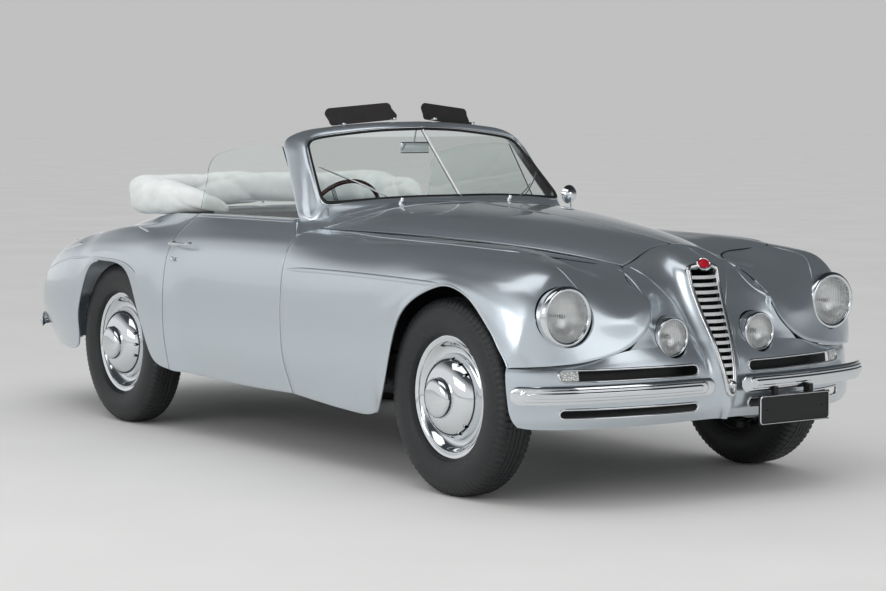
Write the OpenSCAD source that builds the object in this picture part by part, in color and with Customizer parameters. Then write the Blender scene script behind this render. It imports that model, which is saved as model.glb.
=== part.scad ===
/* [Overall] */
// Distance between the front and rear axles
wheelbase = 2700; // [2500:10:2900]
// Reach of the nose and bumper ahead of the front axle
front_reach = 718; // [710:1:730]
// Reach of the tail and bumper behind the rear axle
rear_reach = 1263; // [1255:1:1270]
// Largest width over the rear wings
body_w = 1770; // [1700:10:1840]
// Height of the door top and cowl edge above the ground
belt_z = 1006; // [990:2:1030]
// Thickness of the body panels with their folded edges
panel_t = 12; // [8:1:16]
// Gap round the doors and lids
shut_gap = 6; // [5:0.5:8]

/* [Wheels] */
// Outside diameter of the tyres
tyre_d = 756; // [720:2:780]
// Width of the tyres over the sidewalls
tyre_w = 176; // [150:2:184]
// Diameter of the rims over their flanges
rim_d = 472; // [440:2:484]
// Track of the front wheels
front_track = 1462; // [1430:2:1480]
// Track of the rear wheels
rear_track = 1480; // [1450:2:1490]
// Radius of the axle shafts in the hubs
axle_r = 22; // [18:1:26]
// Radial clearance of the hubs on their shafts
axle_play = 0.05; // [0.03:0.01:0.09]
// Distance from the wheel's middle plane in to the swivel axis
swivel_in = 96; // [92:1:110]
// Radius of the swivel pins
swivel_r = 14; // [11:1:17]

/* [Doors and lids] */
// Thickness of the doors from skin to inner trim
door_t = 80; // [60:2:95]
// Width of the hinge strip between the bonnet halves
hinge_strip_w = 16; // [12:1:20]
// Thickness of the door and windscreen glass
glass_t = 6; // [5:0.5:7]

/* [Lamps and trim] */
// Diameter of the headlamp rims
headlamp_d = 228; // [210:2:236]
// Half the distance between the headlamp centres
headlamp_y = 658; // [650:1:664]
// Height of the headlamp centres
headlamp_z = 714; // [706:1:722]
// Diameter of the fog lamps
fog_lamp_d = 150; // [130:2:160]
// Half the distance between the fog lamp centres
fog_lamp_y = 215; // [208:1:222]
// Height of the fog lamp centres
fog_lamp_z = 622; // [614:1:630]
// Number of bars in the grille
grille_bars = 15; // [9:1:17]
// Height of the bumper blades
bumper_h = 60; // [50:1:66]

/* [Steering wheel] */
// Diameter of the steering wheel rim
steering_d = 400; // [360:5:420]
// Thickness of the steering wheel rim
steering_rim = 24; // [18:1:28]

/* [Hidden] */
$fn = 48;

// The nets below are drawn at a wheelbase of 2700 and a width of 1770, with x from midway
// between the axles, y out to the right and z up. Rows run along the car, columns run from the
// top edge out and down to the lower edge.
mid_x = (rear_reach - front_reach) / 2;
half_stretch = (wheelbase - 2700) / 2;
wide = body_w / 1770;
fax = wheelbase / 2;
rax = -wheelbase / 2;
wheel_z = tyre_d / 2;
seat_gap = 0.3;

// Moves a drawn point to the chosen wheelbase and width
function put(p) = [p[0] + half_stretch * max(-1, min(1, p[0] / 200)), -p[1] * wide, p[2]];
function put_net(net) = [for (row = net) [for (p = row) put(p)]];

// Front wing from the door gap to the nose
wing_net = [
    [[262, 690, 972], [240, 728, 964], [228, 765, 950], [228, 815, 900], [226, 846, 815],
     [220, 858, 650], [226, 851, 450], [248, 815, 288]],
    [[600, 592, 962], [600, 636, 958], [600, 698, 945], [600, 775, 903], [600, 838, 818],
     [600, 854, 660], [600, 850, 460], [600, 806, 262]],
    [[850, 515, 953], [850, 576, 955], [850, 660, 950], [850, 760, 905], [850, 832, 818],
     [846, 848, 670], [838, 846, 480], [830, 800, 262]],
    [[1050, 455, 942], [1050, 540, 950], [1050, 640, 952], [1048, 755, 912], [1040, 826, 835],
     [1010, 846, 720], [975, 850, 560], [950, 838, 350]],
    [[1180, 415, 934], [1180, 520, 946], [1180, 630, 952], [1178, 752, 914], [1170, 822, 850],
     [1150, 842, 785], [1125, 848, 730], [1095, 852, 672]],
    [[1350, 365, 920], [1350, 480, 938], [1350, 610, 948], [1350, 745, 912], [1350, 815, 862],
     [1350, 838, 832], [1350, 846, 815], [1350, 850, 802]],
    [[1520, 315, 902], [1520, 430, 912], [1520, 580, 938], [1520, 735, 905], [1525, 808, 850],
     [1530, 836, 818], [1535, 846, 800], [1540, 850, 782]],
    [[1660, 284, 886], [1662, 420, 868], [1665, 545, 912], [1670, 700, 905], [1672, 795, 840],
     [1675, 832, 780], [1682, 846, 725], [1690, 850, 668]],
    [[1748, 270, 869], [1775, 400, 845], [1785, 520, 872], [1796, 665, 888], [1788, 765, 825],
     [1780, 815, 745], [1765, 840, 665], [1750, 850, 600]],
    [[1798, 300, 837], [1868, 365, 800], [1882, 470, 795], [1862, 645, 826], [1852, 745, 766],
     [1836, 800, 690], [1815, 832, 625], [1782, 849, 565]],
    [[1838, 310, 812], [1925, 330, 765], [1950, 425, 708], [1916, 580, 692], [1882, 715, 668],
     [1858, 785, 628], [1835, 826, 582], [1795, 848, 545]],
    [[1850, 306, 808], [1940, 300, 752], [1972, 330, 668], [1970, 430, 590], [1945, 585, 552],
     [1905, 715, 540], [1858, 800, 536], [1802, 848, 533]]];

// Door and rear wing from the front door gap to the tail
side_net = [
    [[90, 690, 1006], [130, 722, 985], [205, 768, 950], [226, 815, 900], [224, 846, 815],
     [218, 858, 650], [224, 851, 450], [246, 815, 288]],
    [[-100, 690, 1006], [-100, 722, 985], [-100, 770, 948], [-100, 818, 898], [-100, 848, 810],
     [-100, 860, 650], [-100, 853, 450], [-100, 818, 284]],
    [[-450, 690, 1005], [-450, 722, 984], [-450, 772, 944], [-450, 820, 893], [-450, 849, 805],
     [-450, 860, 650], [-450, 853, 460], [-450, 822, 290]],
    [[-640, 690, 1004], [-640, 722, 982], [-640, 772, 940], [-640, 820, 888], [-640, 850, 800],
     [-640, 862, 650], [-640, 858, 470], [-640, 832, 296]],
    [[-780, 688, 1002], [-780, 720, 980], [-780, 772, 936], [-780, 822, 884], [-780, 862, 800],
     [-780, 882, 650], [-776, 882, 470], [-770, 858, 302]],
    [[-900, 684, 1000], [-900, 718, 978], [-900, 775, 934], [-900, 836, 875], [-905, 872, 790],
     [-920, 884, 650], [-925, 884, 500], [-915, 868, 345]],
    [[-1010, 676, 998], [-1010, 716, 972], [-1010, 780, 932], [-1010, 845, 870], [-1010, 874, 790],
     [-1016, 884, 700], [-1018, 884, 620], [-1014, 880, 520]],
    [[-1150, 655, 985], [-1150, 712, 952], [-1150, 785, 928], [-1150, 846, 868], [-1148, 872, 815],
     [-1145, 880, 780], [-1142, 882, 755], [-1138, 882, 728]],
    [[-1350, 610, 965], [-1350, 700, 934], [-1350, 780, 918], [-1350, 842, 862], [-1350, 868, 820],
     [-1350, 876, 796], [-1350, 880, 780], [-1350, 880, 766]],
    [[-1530, 570, 940], [-1530, 670, 914], [-1530, 765, 900], [-1530, 830, 850], [-1532, 860, 804],
     [-1535, 870, 776], [-1538, 874, 752], [-1540, 875, 730]],
    [[-1680, 540, 915], [-1680, 640, 894], [-1680, 740, 882], [-1682, 812, 832], [-1685, 846, 768],
     [-1690, 858, 690], [-1696, 862, 600], [-1700, 858, 520]],
    [[-1850, 505, 888], [-1850, 600, 878], [-1850, 700, 868], [-1850, 786, 828], [-1850, 838, 745],
     [-1850, 858, 625], [-1810, 856, 470], [-1762, 828, 340]],
    [[-2060, 450, 855], [-2060, 540, 848], [-2060, 640, 836], [-2060, 738, 800], [-2060, 800, 720],
     [-2060, 828, 600], [-2040, 826, 460], [-1990, 788, 312]],
    [[-2270, 370, 800], [-2270, 450, 792], [-2270, 560, 778], [-2270, 665, 745], [-2272, 735, 680],
     [-2275, 768, 570], [-2255, 762, 440], [-2205, 712, 305]],
    [[-2420, 270, 738], [-2425, 345, 730], [-2430, 440, 716], [-2435, 545, 685], [-2442, 622, 630],
     [-2450, 662, 540], [-2435, 656, 430], [-2375, 600, 305]],
    [[-2500, 150, 694], [-2507, 200, 685], [-2517, 270, 668], [-2528, 345, 638], [-2540, 405, 590],
     [-2552, 438, 520], [-2538, 434, 425], [-2478, 390, 305]],
    [[-2526, 60, 672], [-2533, 85, 660], [-2545, 122, 640], [-2557, 160, 607], [-2570, 190, 562],
     [-2581, 206, 505], [-2567, 204, 420], [-2506, 182, 305]],
    [[-2532, 0, 665], [-2540, 0, 652], [-2552, 0, 630], [-2564, 0, 598], [-2577, 0, 555],
     [-2588, 0, 500], [-2574, 0, 418], [-2514, 0, 305]]];

// Right half of the bonnet from its rear edge to the nose
bonnet_net = [
    [[405, 8.6, 1077], [402, 150, 1074], [392, 300, 1066], [368, 440, 1046], [325, 580, 1010],
     [262, 688, 974]],
    [[600, 8.6, 1064], [600, 150, 1062], [600, 300, 1055], [598, 430, 1038], [598, 530, 1005],
     [600, 590, 966]],
    [[850, 8.6, 1047], [850, 140, 1045], [850, 270, 1038], [850, 380, 1021], [850, 465, 990],
     [850, 513, 957]],
    [[1100, 8.6, 1027], [1100, 120, 1025], [1100, 230, 1016], [1100, 320, 1000], [1100, 395, 975],
     [1100, 438, 945]],
    [[1350, 8.6, 1001], [1350, 105, 998], [1350, 200, 988], [1350, 275, 972], [1350, 330, 950],
     [1350, 362, 925]],
    [[1540, 8.6, 977], [1542, 90, 973], [1545, 165, 962], [1548, 230, 945], [1550, 275, 924],
     [1550, 304, 902]],
    [[1706, 8.6, 952], [1712, 65, 948], [1722, 125, 934], [1730, 175, 915], [1735, 220, 893],
     [1730, 254, 876]]];

// Right half of the nose from the bonnet's front edge down to the apron
nose_net = [
    [[1716, 0, 951], [1717, 45, 948], [1724, 95, 940], [1734, 150, 922], [1742, 210, 893],
     [1740, 262, 872]],
    [[1808, 0, 924], [1800, 45, 918], [1778, 95, 902], [1770, 150, 886], [1772, 225, 862],
     [1780, 286, 846]],
    [[1896, 0, 877], [1866, 68, 868], [1828, 96, 852], [1812, 150, 838], [1822, 225, 826],
     [1838, 301, 808]],
    [[1938, 0, 800], [1898, 67, 795], [1862, 98, 790], [1858, 145, 782], [1876, 220, 768],
     [1933, 293.5, 747]],
    [[1972, 0, 715], [1936, 58, 712], [1902, 92, 708], [1905, 135, 702], [1926, 215, 688],
     [1965, 322, 669]],
    [[2004, 0, 640], [1976, 49, 637], [1946, 84, 634], [1950, 125, 630], [1962, 215, 618],
     [1968, 384, 610]],
    [[2016, 0, 606], [1992, 44, 603], [1964, 80, 600], [1968, 120, 598], [1976, 215, 592],
     [1967, 412, 591]]];

// Right half of the apron from the lobe of the wing down to the bottom edge
apron_net = [
    [[2017, 0, 604], [1993, 44, 601], [1965, 80, 598], [1972, 124, 595], [1978, 240, 590],
     [1967, 412, 583], [1934, 560, 550.5], [1885, 690, 536], [1838, 780, 530], [1786, 842, 529]],
    [[2032, 0, 560], [2014, 38, 560], [1990, 74, 558], [1996, 124, 556], [1998, 240, 552],
     [1978, 400, 548], [1944, 560, 534], [1890, 690, 526], [1842, 780, 522], [1788, 845, 520]],
    [[2044, 0, 521], [2030, 32, 521], [2008, 68, 520], [2012, 124, 520], [2010, 240, 519],
     [1988, 400, 517], [1952, 560, 515], [1898, 690, 512], [1848, 780, 508], [1790, 848, 504]],
    [[2052, 0, 476], [2042, 25, 476], [2020, 62, 476], [2018, 124, 476], [2016, 240, 476],
     [1996, 400, 475], [1960, 560, 474], [1906, 690, 472], [1854, 780, 470], [1794, 849, 466]],
    [[2056, 0, 425], [2048, 17, 425], [2024, 54, 425], [2020, 124, 425], [2018, 240, 425],
     [1998, 400, 424], [1962, 560, 424], [1908, 690, 423], [1858, 780, 422], [1800, 848, 420]],
    [[2055, 0, 379], [2047, 15, 379], [2022, 46, 379], [2018, 124, 379], [2016, 240, 379],
     [1996, 400, 378], [1960, 560, 376], [1906, 690, 374], [1858, 780, 372], [1808, 845, 370]],
    [[2050, 0, 343], [2038, 16, 343], [2016, 36, 343], [2010, 124, 343], [2008, 240, 343],
     [1990, 400, 342], [1954, 560, 340], [1900, 690, 338], [1854, 780, 337], [1816, 836, 338]],
    [[2036, 0, 308], [2022, 12, 308], [2000, 28, 308], [1988, 124, 306], [1984, 240, 304],
     [1966, 400, 302], [1930, 560, 301], [1880, 690, 302], [1842, 770, 306], [1818, 815, 314]]];

// Right half of the scuttle from the bonnet's rear edge to the windscreen and door
cowl_net = [
    [[398, 0, 1078], [395, 150, 1075], [385, 300, 1067], [361, 440, 1047], [318, 580, 1011],
     [260, 690.2, 972.8], [238.4, 728, 964.8], [226.4, 765, 950.7]],
    [[320, 0, 1084], [314, 150, 1082], [292, 300, 1076], [256, 440, 1062], [208, 570, 1038],
     [176, 684, 996], [180, 726, 976], [214, 767, 951]],
    [[240, 0, 1086], [232, 150, 1084], [208, 300, 1078], [168, 440, 1066], [116, 570, 1044],
     [98, 684, 1006], [140, 722, 985], [207, 768, 951]]];

// Right half of the rear deck from behind the seats to the tail
deck_net = [
    [[-1050, 0, 1018], [-1050, 200, 1018], [-1050, 390, 1016], [-1050, 540, 1010],
     [-1050, 620, 1002], [-1050, 665.2, 994]],
    [[-1240, 0, 1016], [-1240, 190, 1015], [-1240, 370, 1011], [-1240, 510, 1000],
     [-1240, 590, 986], [-1240, 629.2, 976]],
    [[-1450, 0, 1008], [-1450, 180, 1006], [-1450, 345, 998], [-1450, 470, 980],
     [-1450, 548, 960], [-1450, 583.2, 950]],
    [[-1650, 0, 996], [-1650, 165, 992], [-1650, 320, 980], [-1650, 435, 956],
     [-1650, 508, 930], [-1650, 540.2, 918]],
    [[-1850, 0, 975], [-1850, 150, 970], [-1850, 295, 956], [-1850, 400, 930],
     [-1850, 468, 902], [-1850, 499.2, 888]],
    [[-2060, 0, 928], [-2060, 130, 923], [-2060, 258, 908], [-2060, 350, 885],
     [-2060, 414, 864], [-2060, 445.2, 855]],
    [[-2270, 0, 850], [-2270, 108, 846], [-2270, 212, 835], [-2270, 290, 818],
     [-2270, 340, 806], [-2270, 365.2, 800]],
    [[-2410, 0, 765], [-2412, 80, 762], [-2414, 158, 756], [-2416, 215, 748],
     [-2418, 252, 742], [-2417, 269, 740.5]],
    [[-2526, 0, 671.5], [-2523, 40, 674.5], [-2517, 80, 681.5], [-2508, 112, 688.5],
     [-2501, 134, 694], [-2496, 146.5, 697.5]]];

// Grids of points on the nets, with Catmull-Rom curves both ways
function curve_point(a, b, c, d, t) =
    0.5 * (2 * b + (c - a) * t + (2 * a - 5 * b + 4 * c - d) * t * t
        + (3 * b - a - 3 * c + d) * t * t * t);
function along(points, t) =
    let(last = len(points) - 1, i = min(max(floor(t), 0), last - 1),
        b = points[i], c = points[i + 1],
        a = i > 0 ? points[i - 1] : 2 * b - c,
        d = i + 2 <= last ? points[i + 2] : 2 * c - b)
    curve_point(a, b, c, d, t - i);
function steps(a, b, n) = [for (i = [0 : n]) a + (b - a) * i / n];
function patch(net, us, vs) = [for (u = us) let(row = along(net, u)) [for (v = vs) along(row, v)]];

// The same, ending a shut gap short of the column last
function patch_to(net, us, last, n) = [for (u = us)
    let(row = along(net, u), gap = shut_gap / norm(row[last] - row[last - 1]))
    [for (v = steps(0, last - gap, n)) along(row, v)]];

// Full width rows made from rows of the right half
function full(half) = [for (row = half)
    concat([for (j = [len(row) - 1 : -1 : 1]) [row[j][0], -row[j][1], row[j][2]]], row)];

function unit(v) = v / norm(v);
function grid_normal(p, i, j) =
    let(n = len(p) - 1, m = len(p[0]) - 1,
        du = p[min(i + 1, n)][j] - p[max(i - 1, 0)][j],
        dv = p[i][min(j + 1, m)] - p[i][max(j - 1, 0)])
    unit(cross(du, dv));

// Closed panel with one face on a grid, side says which way the outside is. The back face lies
// the thickness behind along the normals, or is moved by the vector back. Cells that keep
// refuses are openings.
module panel(grid, side, thick = panel_t, back = undef, keep = function(i, j) true) {
    n = len(grid);
    m = len(grid[0]);
    inner = [for (i = [0 : n - 1]) [for (j = [0 : m - 1])
        grid[i][j] + (is_undef(back) ? -side * thick * grid_normal(grid, i, j) : back)]];
    there = function(i, j) i >= 0 && j >= 0 && i < n - 1 && j < m - 1 && keep(i, j);
    faces = [for (i = [0 : n - 2]) for (j = [0 : m - 2]) if (keep(i, j))
        let(a = i * m + j, b = a + m, c = b + 1, d = a + 1, k = n * m)
        each concat([[a, b, c], [a, c, d], [a + k, c + k, b + k], [a + k, d + k, c + k]],
            there(i, j - 1) ? [] : [[b, a, a + k], [b, a + k, b + k]],
            there(i + 1, j) ? [] : [[c, b, b + k], [c, b + k, c + k]],
            there(i, j + 1) ? [] : [[d, c, c + k], [d, c + k, d + k]],
            there(i - 1, j) ? [] : [[a, d, d + k], [a, d + k, a + k]])];
    polyhedron([for (row = concat(grid, inner)) each row],
        side > 0 ? [for (f = faces) [f[2], f[1], f[0]]] : faces);
}

// The grid moved outwards along its normals
function raise(grid, d) = [for (i = [0 : len(grid) - 1]) [for (j = [0 : len(grid[0]) - 1])
    grid[i][j] + d * grid_normal(grid, i, j)]];

// Where a line of points crosses a plane across the car
function at_x(line, x) =
    let(n = 60, p = [for (u = steps(0, len(line) - 1, n)) along(line, u)],
        k = [for (i = [0 : n - 1]) if ((p[i][0] - x) * (p[i + 1][0] - x) <= 0) i][0])
    p[k] + (p[k + 1] - p[k]) * (x - p[k][0]) / (p[k + 1][0] - p[k][0]);
function section(net, x, vs) = [for (v = vs) at_x(column_of(net, v), x)];
function column_of(net, v) = [for (row = net) along(row, v)];

// Closed bar with elliptical sections along a path. Each point is [x, y, z, half width,
// half height], up is the direction of the height.
module bar(path, sides = 8, up = [0, 0, 1]) {
    n = len(path);
    rings = [for (i = [0 : n - 1])
        let(p = path[i], a = path[max(i - 1, 0)], b = path[min(i + 1, n - 1)],
            t = unit([b[0] - a[0], b[1] - a[1], b[2] - a[2]]),
            w = unit(cross(t, up)), h = cross(w, t))
        [for (k = [0 : sides - 1])
            [p[0], p[1], p[2]] + p[3] * cos(360 * (k + 0.5) / sides) * w
                + p[4] * sin(360 * (k + 0.5) / sides) * h]];
    walls = [for (i = [0 : n - 2]) for (k = [0 : sides - 1])
        let(a = i * sides + k, b = i * sides + (k + 1) % sides)
        each [[a, b, b + sides], [a, b + sides, a + sides]]];
    caps = [for (k = [1 : sides - 2]) each [[0, k + 1, k],
        [(n - 1) * sides, (n - 1) * sides + k, (n - 1) * sides + k + 1]]];
    polyhedron([for (r = rings) each r], concat(walls, caps));
}

module place() translate([mid_x, 0, 0]) children();
module both_sides() {
    children();
    mirror([0, 1, 0]) children();
}
module left_side() mirror([0, 1, 0]) children();
// Turns the z axis of what follows to point forward, or out to the right
module forward() rotate([0, 90, 0]) children();
module outward() rotate([90, 0, 0]) children();

wing = put_net(wing_net);
side = put_net(side_net);
bonnet = put_net(bonnet_net);
nose = put_net(nose_net);
apron = put_net(apron_net);
scuttle = put_net(cowl_net);
deck = put_net(deck_net);
door_taper = 10;
door_last_row = 4;
tail_row = len(side_net) - 1;
body_colour = [0.66, 0.69, 0.70];

headlamp_x = wheelbase / 2 + 555;
fog_lamp_x = wheelbase / 2 + 612;
lamp_clear = 0.4;

module headlamp_bore() translate([headlamp_x - 140, -headlamp_y, headlamp_z])
    forward() cylinder(h = 260, r = headlamp_d / 2 + lamp_clear);
module fog_lamp_bore() translate([fog_lamp_x - 140, -fog_lamp_y, fog_lamp_z])
    forward() cylinder(h = 260, r = fog_lamp_d / 2 + lamp_clear);

// Door hinges: a pin between two ears on the wing's edge, and a knuckle on the door
door_hinge = [216.5 + half_stretch, 857 * wide];
door_hinge_z = [540, 740];
door_pin_r = 3.5;
hinge_r = 6.5;
ear_l = 11;
knuckle_l = 13;
module at_door_hinges() for (z = door_hinge_z) translate([door_hinge[0], -door_hinge[1], z])
    children();
wing_grid = patch(wing, steps(0, 11, 22), steps(0, 7, 14));
side_grid = patch(side, steps(door_last_row, tail_row, 24), steps(0, 7, 12));
module front_wings() color(body_colour) place() both_sides() {
    difference() {
        panel(wing_grid, -1);
        headlamp_bore();
        at_door_hinges() cylinder(h = knuckle_l + 2, r = hinge_r + 1, center = true);
    }
    at_door_hinges() {
        cylinder(h = knuckle_l + 2 * ear_l, r = door_pin_r, center = true);
        for (z = [-knuckle_l / 2 - ear_l, knuckle_l / 2 + 0.5])
            translate([0, 0, z]) cylinder(h = ear_l - 0.5, r = hinge_r);
    }
}
rear_grid = concat(side_grid, [for (i = [len(side_grid) - 2 : -1 : 0])
    [for (p = side_grid[i]) [p[0], -p[1], p[2]]]]);
module rear_wings() color(body_colour) place() panel(rear_grid, 1);
module nose_panel() color(body_colour) place() difference() {
    panel(full(patch(nose, steps(0, 6, 12), steps(0, 5, 10))), -1,
        keep = function(i, j) i < 4 || j < 8 || j > 11);
    both_sides() fog_lamp_bore();
    grille_surround(seat_gap);
}

apron_grid = full(patch(apron, steps(0, 7, 7), steps(0, 9, 18)));
module front_apron() color(body_colour) place() difference() {
    panel(apron_grid, -1, keep = function(i, j) let(k = j < 18 ? 35 - j : j)
        !(i < 4 && k < 20) && !((i == 2 || i == 5) && k >= 24 && k < 32));
    both_sides() fog_lamp_bore();
    grille_surround(seat_gap);
}

cowl_grid = full(patch(scuttle, steps(0, 2, 4), steps(0, 7, 14)));
module cowl() color(body_colour) place()
    panel(cowl_grid, 1);

// The boot opening spans these rows and columns of the deck
boot_rows = [2.5, 7];
boot_cols = 3;
gap_boot_front = shut_gap / 200;
gap_boot_rear = shut_gap / 150;
deck_grid = full(patch(deck, steps(0, 8, 16), steps(0, 5, 10)));
boot_hinge = at_x(column_of(deck, 0), -1553 - half_stretch);
boot_hinge_y = 160;
module at_boot_hinges() for (y = [-boot_hinge_y, boot_hinge_y])
    translate([boot_hinge[0], y, boot_hinge[2] - 1]) outward() children();
module rear_deck() color(body_colour) place() {
    difference() {
        panel(deck_grid, 1, keep = function(i, j) i < 2 * boot_rows[0] || i >= 2 * boot_rows[1]
            || j < 10 - 2 * boot_cols || j >= 10 + 2 * boot_cols);
        at_boot_hinges() cylinder(h = knuckle_l + 2, r = hinge_r + 1, center = true);
    }
    at_boot_hinges() {
        cylinder(h = knuckle_l + 2 * ear_l, r = door_pin_r, center = true);
        for (z = [-knuckle_l / 2 - ear_l, knuckle_l / 2 + 0.5])
            translate([0, 0, z]) cylinder(h = ear_l - 0.5, r = hinge_r);
    }
}
module boot_lid() color(body_colour) place() difference() {
    union() {
        panel(full(patch_to(deck,
            steps(boot_rows[0] + gap_boot_front, boot_rows[1] - gap_boot_rear, 9), boot_cols, 5)), 1);
        at_boot_hinges() cylinder(h = knuckle_l, r = hinge_r, center = true);
    }
    at_boot_hinges() {
        cylinder(h = 3 * knuckle_l, r = door_pin_r + axle_play, center = true);
        for (z = [-knuckle_l / 2 - ear_l - 1, knuckle_l / 2])
            translate([0, 0, z]) cylinder(h = ear_l + 1, r = hinge_r + 1);
    }
}

hinge_line = [[398.2, 1078], [600, 1066], [850, 1049], [1100, 1029], [1350, 1003], [1540, 979],
    [1713.4, 953]];
module bonnet_hinge() color([0.7, 0.71, 0.72]) place()
    bar([for (p = hinge_line) concat(put([p[0], 0, p[1] - 7]), [hinge_strip_w / 2, 5])], 6);
module bonnet() color(body_colour)
    panel(patch_to(bonnet, steps(0, 6, 11), 5, 9), -1);
module bonnet_right() place() bonnet();
module bonnet_left() place() left_side() bonnet();

// Door skin between shut lines of even width
door_columns = [for (v = steps(0, 7, 14)) let(line = column_of(side, v),
    front = shut_gap / norm(line[1] - line[0]),
    rear = shut_gap / norm(line[door_last_row] - line[door_last_row - 1]))
    [for (u = steps(front, door_last_row - rear, 8)) along(line, u)]];
door_skin = [for (i = [0 : 8]) [for (line = door_columns) line[i]]];
module door() color(body_colour) difference() {
    union() {
        panel(door_skin, 1, back = [door_taper, door_t, 0]);
        at_door_hinges() cylinder(h = knuckle_l, r = hinge_r, center = true);
    }
    at_door_hinges() {
        cylinder(h = 3 * knuckle_l, r = door_pin_r + axle_play, center = true);
        for (z = [-knuckle_l / 2 - ear_l - 1, knuckle_l / 2])
            translate([0, 0, z]) cylinder(h = ear_l + 1, r = hinge_r + 1);
    }
    // Room for the scuttle's edge
    for (d = [[-5.5, 0, 0], [-5.5, -6, -2]]) translate(d)
        panel(patch(scuttle, steps(0, 2, 4), steps(4, 7, 6)), 1, thick = panel_t + shut_gap);
    window_place() translate([-900, -1, -glass_t / 2 - seat_gap])
        cube([990, belt_z + 60, glass_t + 2 * seat_gap]);
}
module door_right() place() door();
module door_left() place() left_side() door();

// Door window, a flat pane leaning in at the top, with its lower edge in the door
glass_y = 700;
glass_lean = 4;
glass_base = belt_z - 60;
module window_place() translate([0, -glass_y, 0]) rotate([-glass_lean, 0, 0]) outward()
    children();
module door_glass() color([0.6, 0.75, 0.75, 0.4])
    window_place() translate([0, 0, -glass_t / 2]) linear_extrude(glass_t) polygon(concat(
        [[40, glass_base], [-740, glass_base], [-740, belt_z + 12], [-866, belt_z + 20],
         [-846, belt_z + 90]],
        [for (a = [-10 : 15 : 80]) [-690 - 132 * cos(a), belt_z + 176 + 98 * sin(a)]],
        [[-560, belt_z + 298], [-450, belt_z + 309], [-300, belt_z + 313],
         [-170, belt_z + 308], [30, belt_z + 12]]));
module door_glass_right() place() door_glass();
module door_glass_left() place() left_side() door_glass();

// Folded hood under its cover, a bundle round the back of the seats
cover_half = [[-700, 578, 1024, 12, 13], [-850, 570, 1046, 30, 36], [-1050, 612, 1070, 60, 64],
    [-1230, 624, 1071, 82, 86], [-1350, 604, 1074, 92, 88], [-1398, 520, 1080, 94, 87],
    [-1412, 380, 1087, 96, 86], [-1414, 190, 1092, 98, 86], [-1416, 0, 1094, 98, 86]];
module hood_cover() color([0.9, 0.89, 0.85]) place() difference() {
    bar(concat([for (p = cover_half) [p[0] - half_stretch, -p[1] * wide, p[2], p[3], p[4]]],
        [for (i = [len(cover_half) - 2 : -1 : 0]) let(p = cover_half[i])
            [p[0] - half_stretch, p[1] * wide, p[2], p[3], p[4]]]), 10);
    translate([0, 0, seat_gap]) panel(deck_grid, 1, thick = 60);
}

// Windscreen: a painted frame from door post to door post, seated on the scuttle, with a
// groove that holds the two flat panes of the V
function pane_x(y, z) = 300 - 1.007 * (z - 1094) - 0.235 * (y - 12);
pane = [[7, 1094], [300, 1092], [560, 1078], [618, 1068], [629, 1080], [566, 1300], [545, 1330],
    [480, 1352], [200, 1384], [7, 1390]];
module pane_solid(grow, thick) {
    n = len(pane);
    c = [300, 1220];
    outline = [for (p = pane) let(d = unit(p - c)) p + grow * d];
    front = [for (p = outline) put([pane_x(p[0], p[1]), p[0], p[1]])];
    polyhedron(concat([for (q = front) q + [thick / 2, 0, 0]],
            [for (q = front) q - [thick / 2, 0, 0]]),
        concat([[for (i = [0 : n - 1]) i]], [[for (i = [n - 1 : -1 : 0]) i + n]],
            [for (i = [0 : n - 1]) let(j = (i + 1) % n) [i, i + n, j + n, j]]));
}
module windscreen_glass() color([0.6, 0.75, 0.75, 0.4]) place() both_sides()
    pane_solid(0, glass_t * 1.5);
frame_half = [[118, 672, 985, 22, 50], [92, 662, 1050, 21, 54], [52, 648, 1110, 21, 58],
    [4, 630, 1180, 20, 60], [-50, 610, 1255, 20, 62], [-98, 590, 1318, 20, 60],
    [-116, 552, 1358, 20, 44], [-100, 480, 1382, 20, 34], [-66, 360, 1396, 20, 28],
    [-42, 200, 1407, 20, 28], [-18, 60, 1412, 20, 28], [-14, 0, 1413, 20, 28]];
sill_half = [[150, 640, 1045, 26, 30], [190, 600, 1050, 26, 28], [232, 420, 1060, 24, 30],
    [268, 220, 1068, 24, 30], [300, 40, 1072, 24, 30], [302, 0, 1072, 24, 30]];
module screen_bar(half, up) bar(concat(
    [for (p = half) concat(put([p[0], p[1], p[2]]), [p[3], p[4]])],
    [for (i = [len(half) - 2 : -1 : 0]) let(p = half[i], q = put([p[0], p[1], p[2]]))
        [q[0], -q[1], q[2], p[3], p[4]]]), 8, up);
module windscreen_frame() color(body_colour) place() difference() {
    union() {
        screen_bar(frame_half, [0.8, 0, 0.6]);
        screen_bar(sill_half, [0, 0, 1]);
    }
    translate([0, 0, seat_gap]) panel(cowl_grid, 1, thick = 90);
    both_sides() pane_solid(2, glass_t * 1.5 + 1);
    // Room for the doors behind the posts
    translate([-100, -body_w / 2, belt_z - 100]) cube([210, body_w, 106]);
}

// Running gear
hub_gap = 1;
swivel_y_front = front_track / 2 - swivel_in;
rim_r = rim_d / 2;
bead_r = rim_r - 24;

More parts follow.
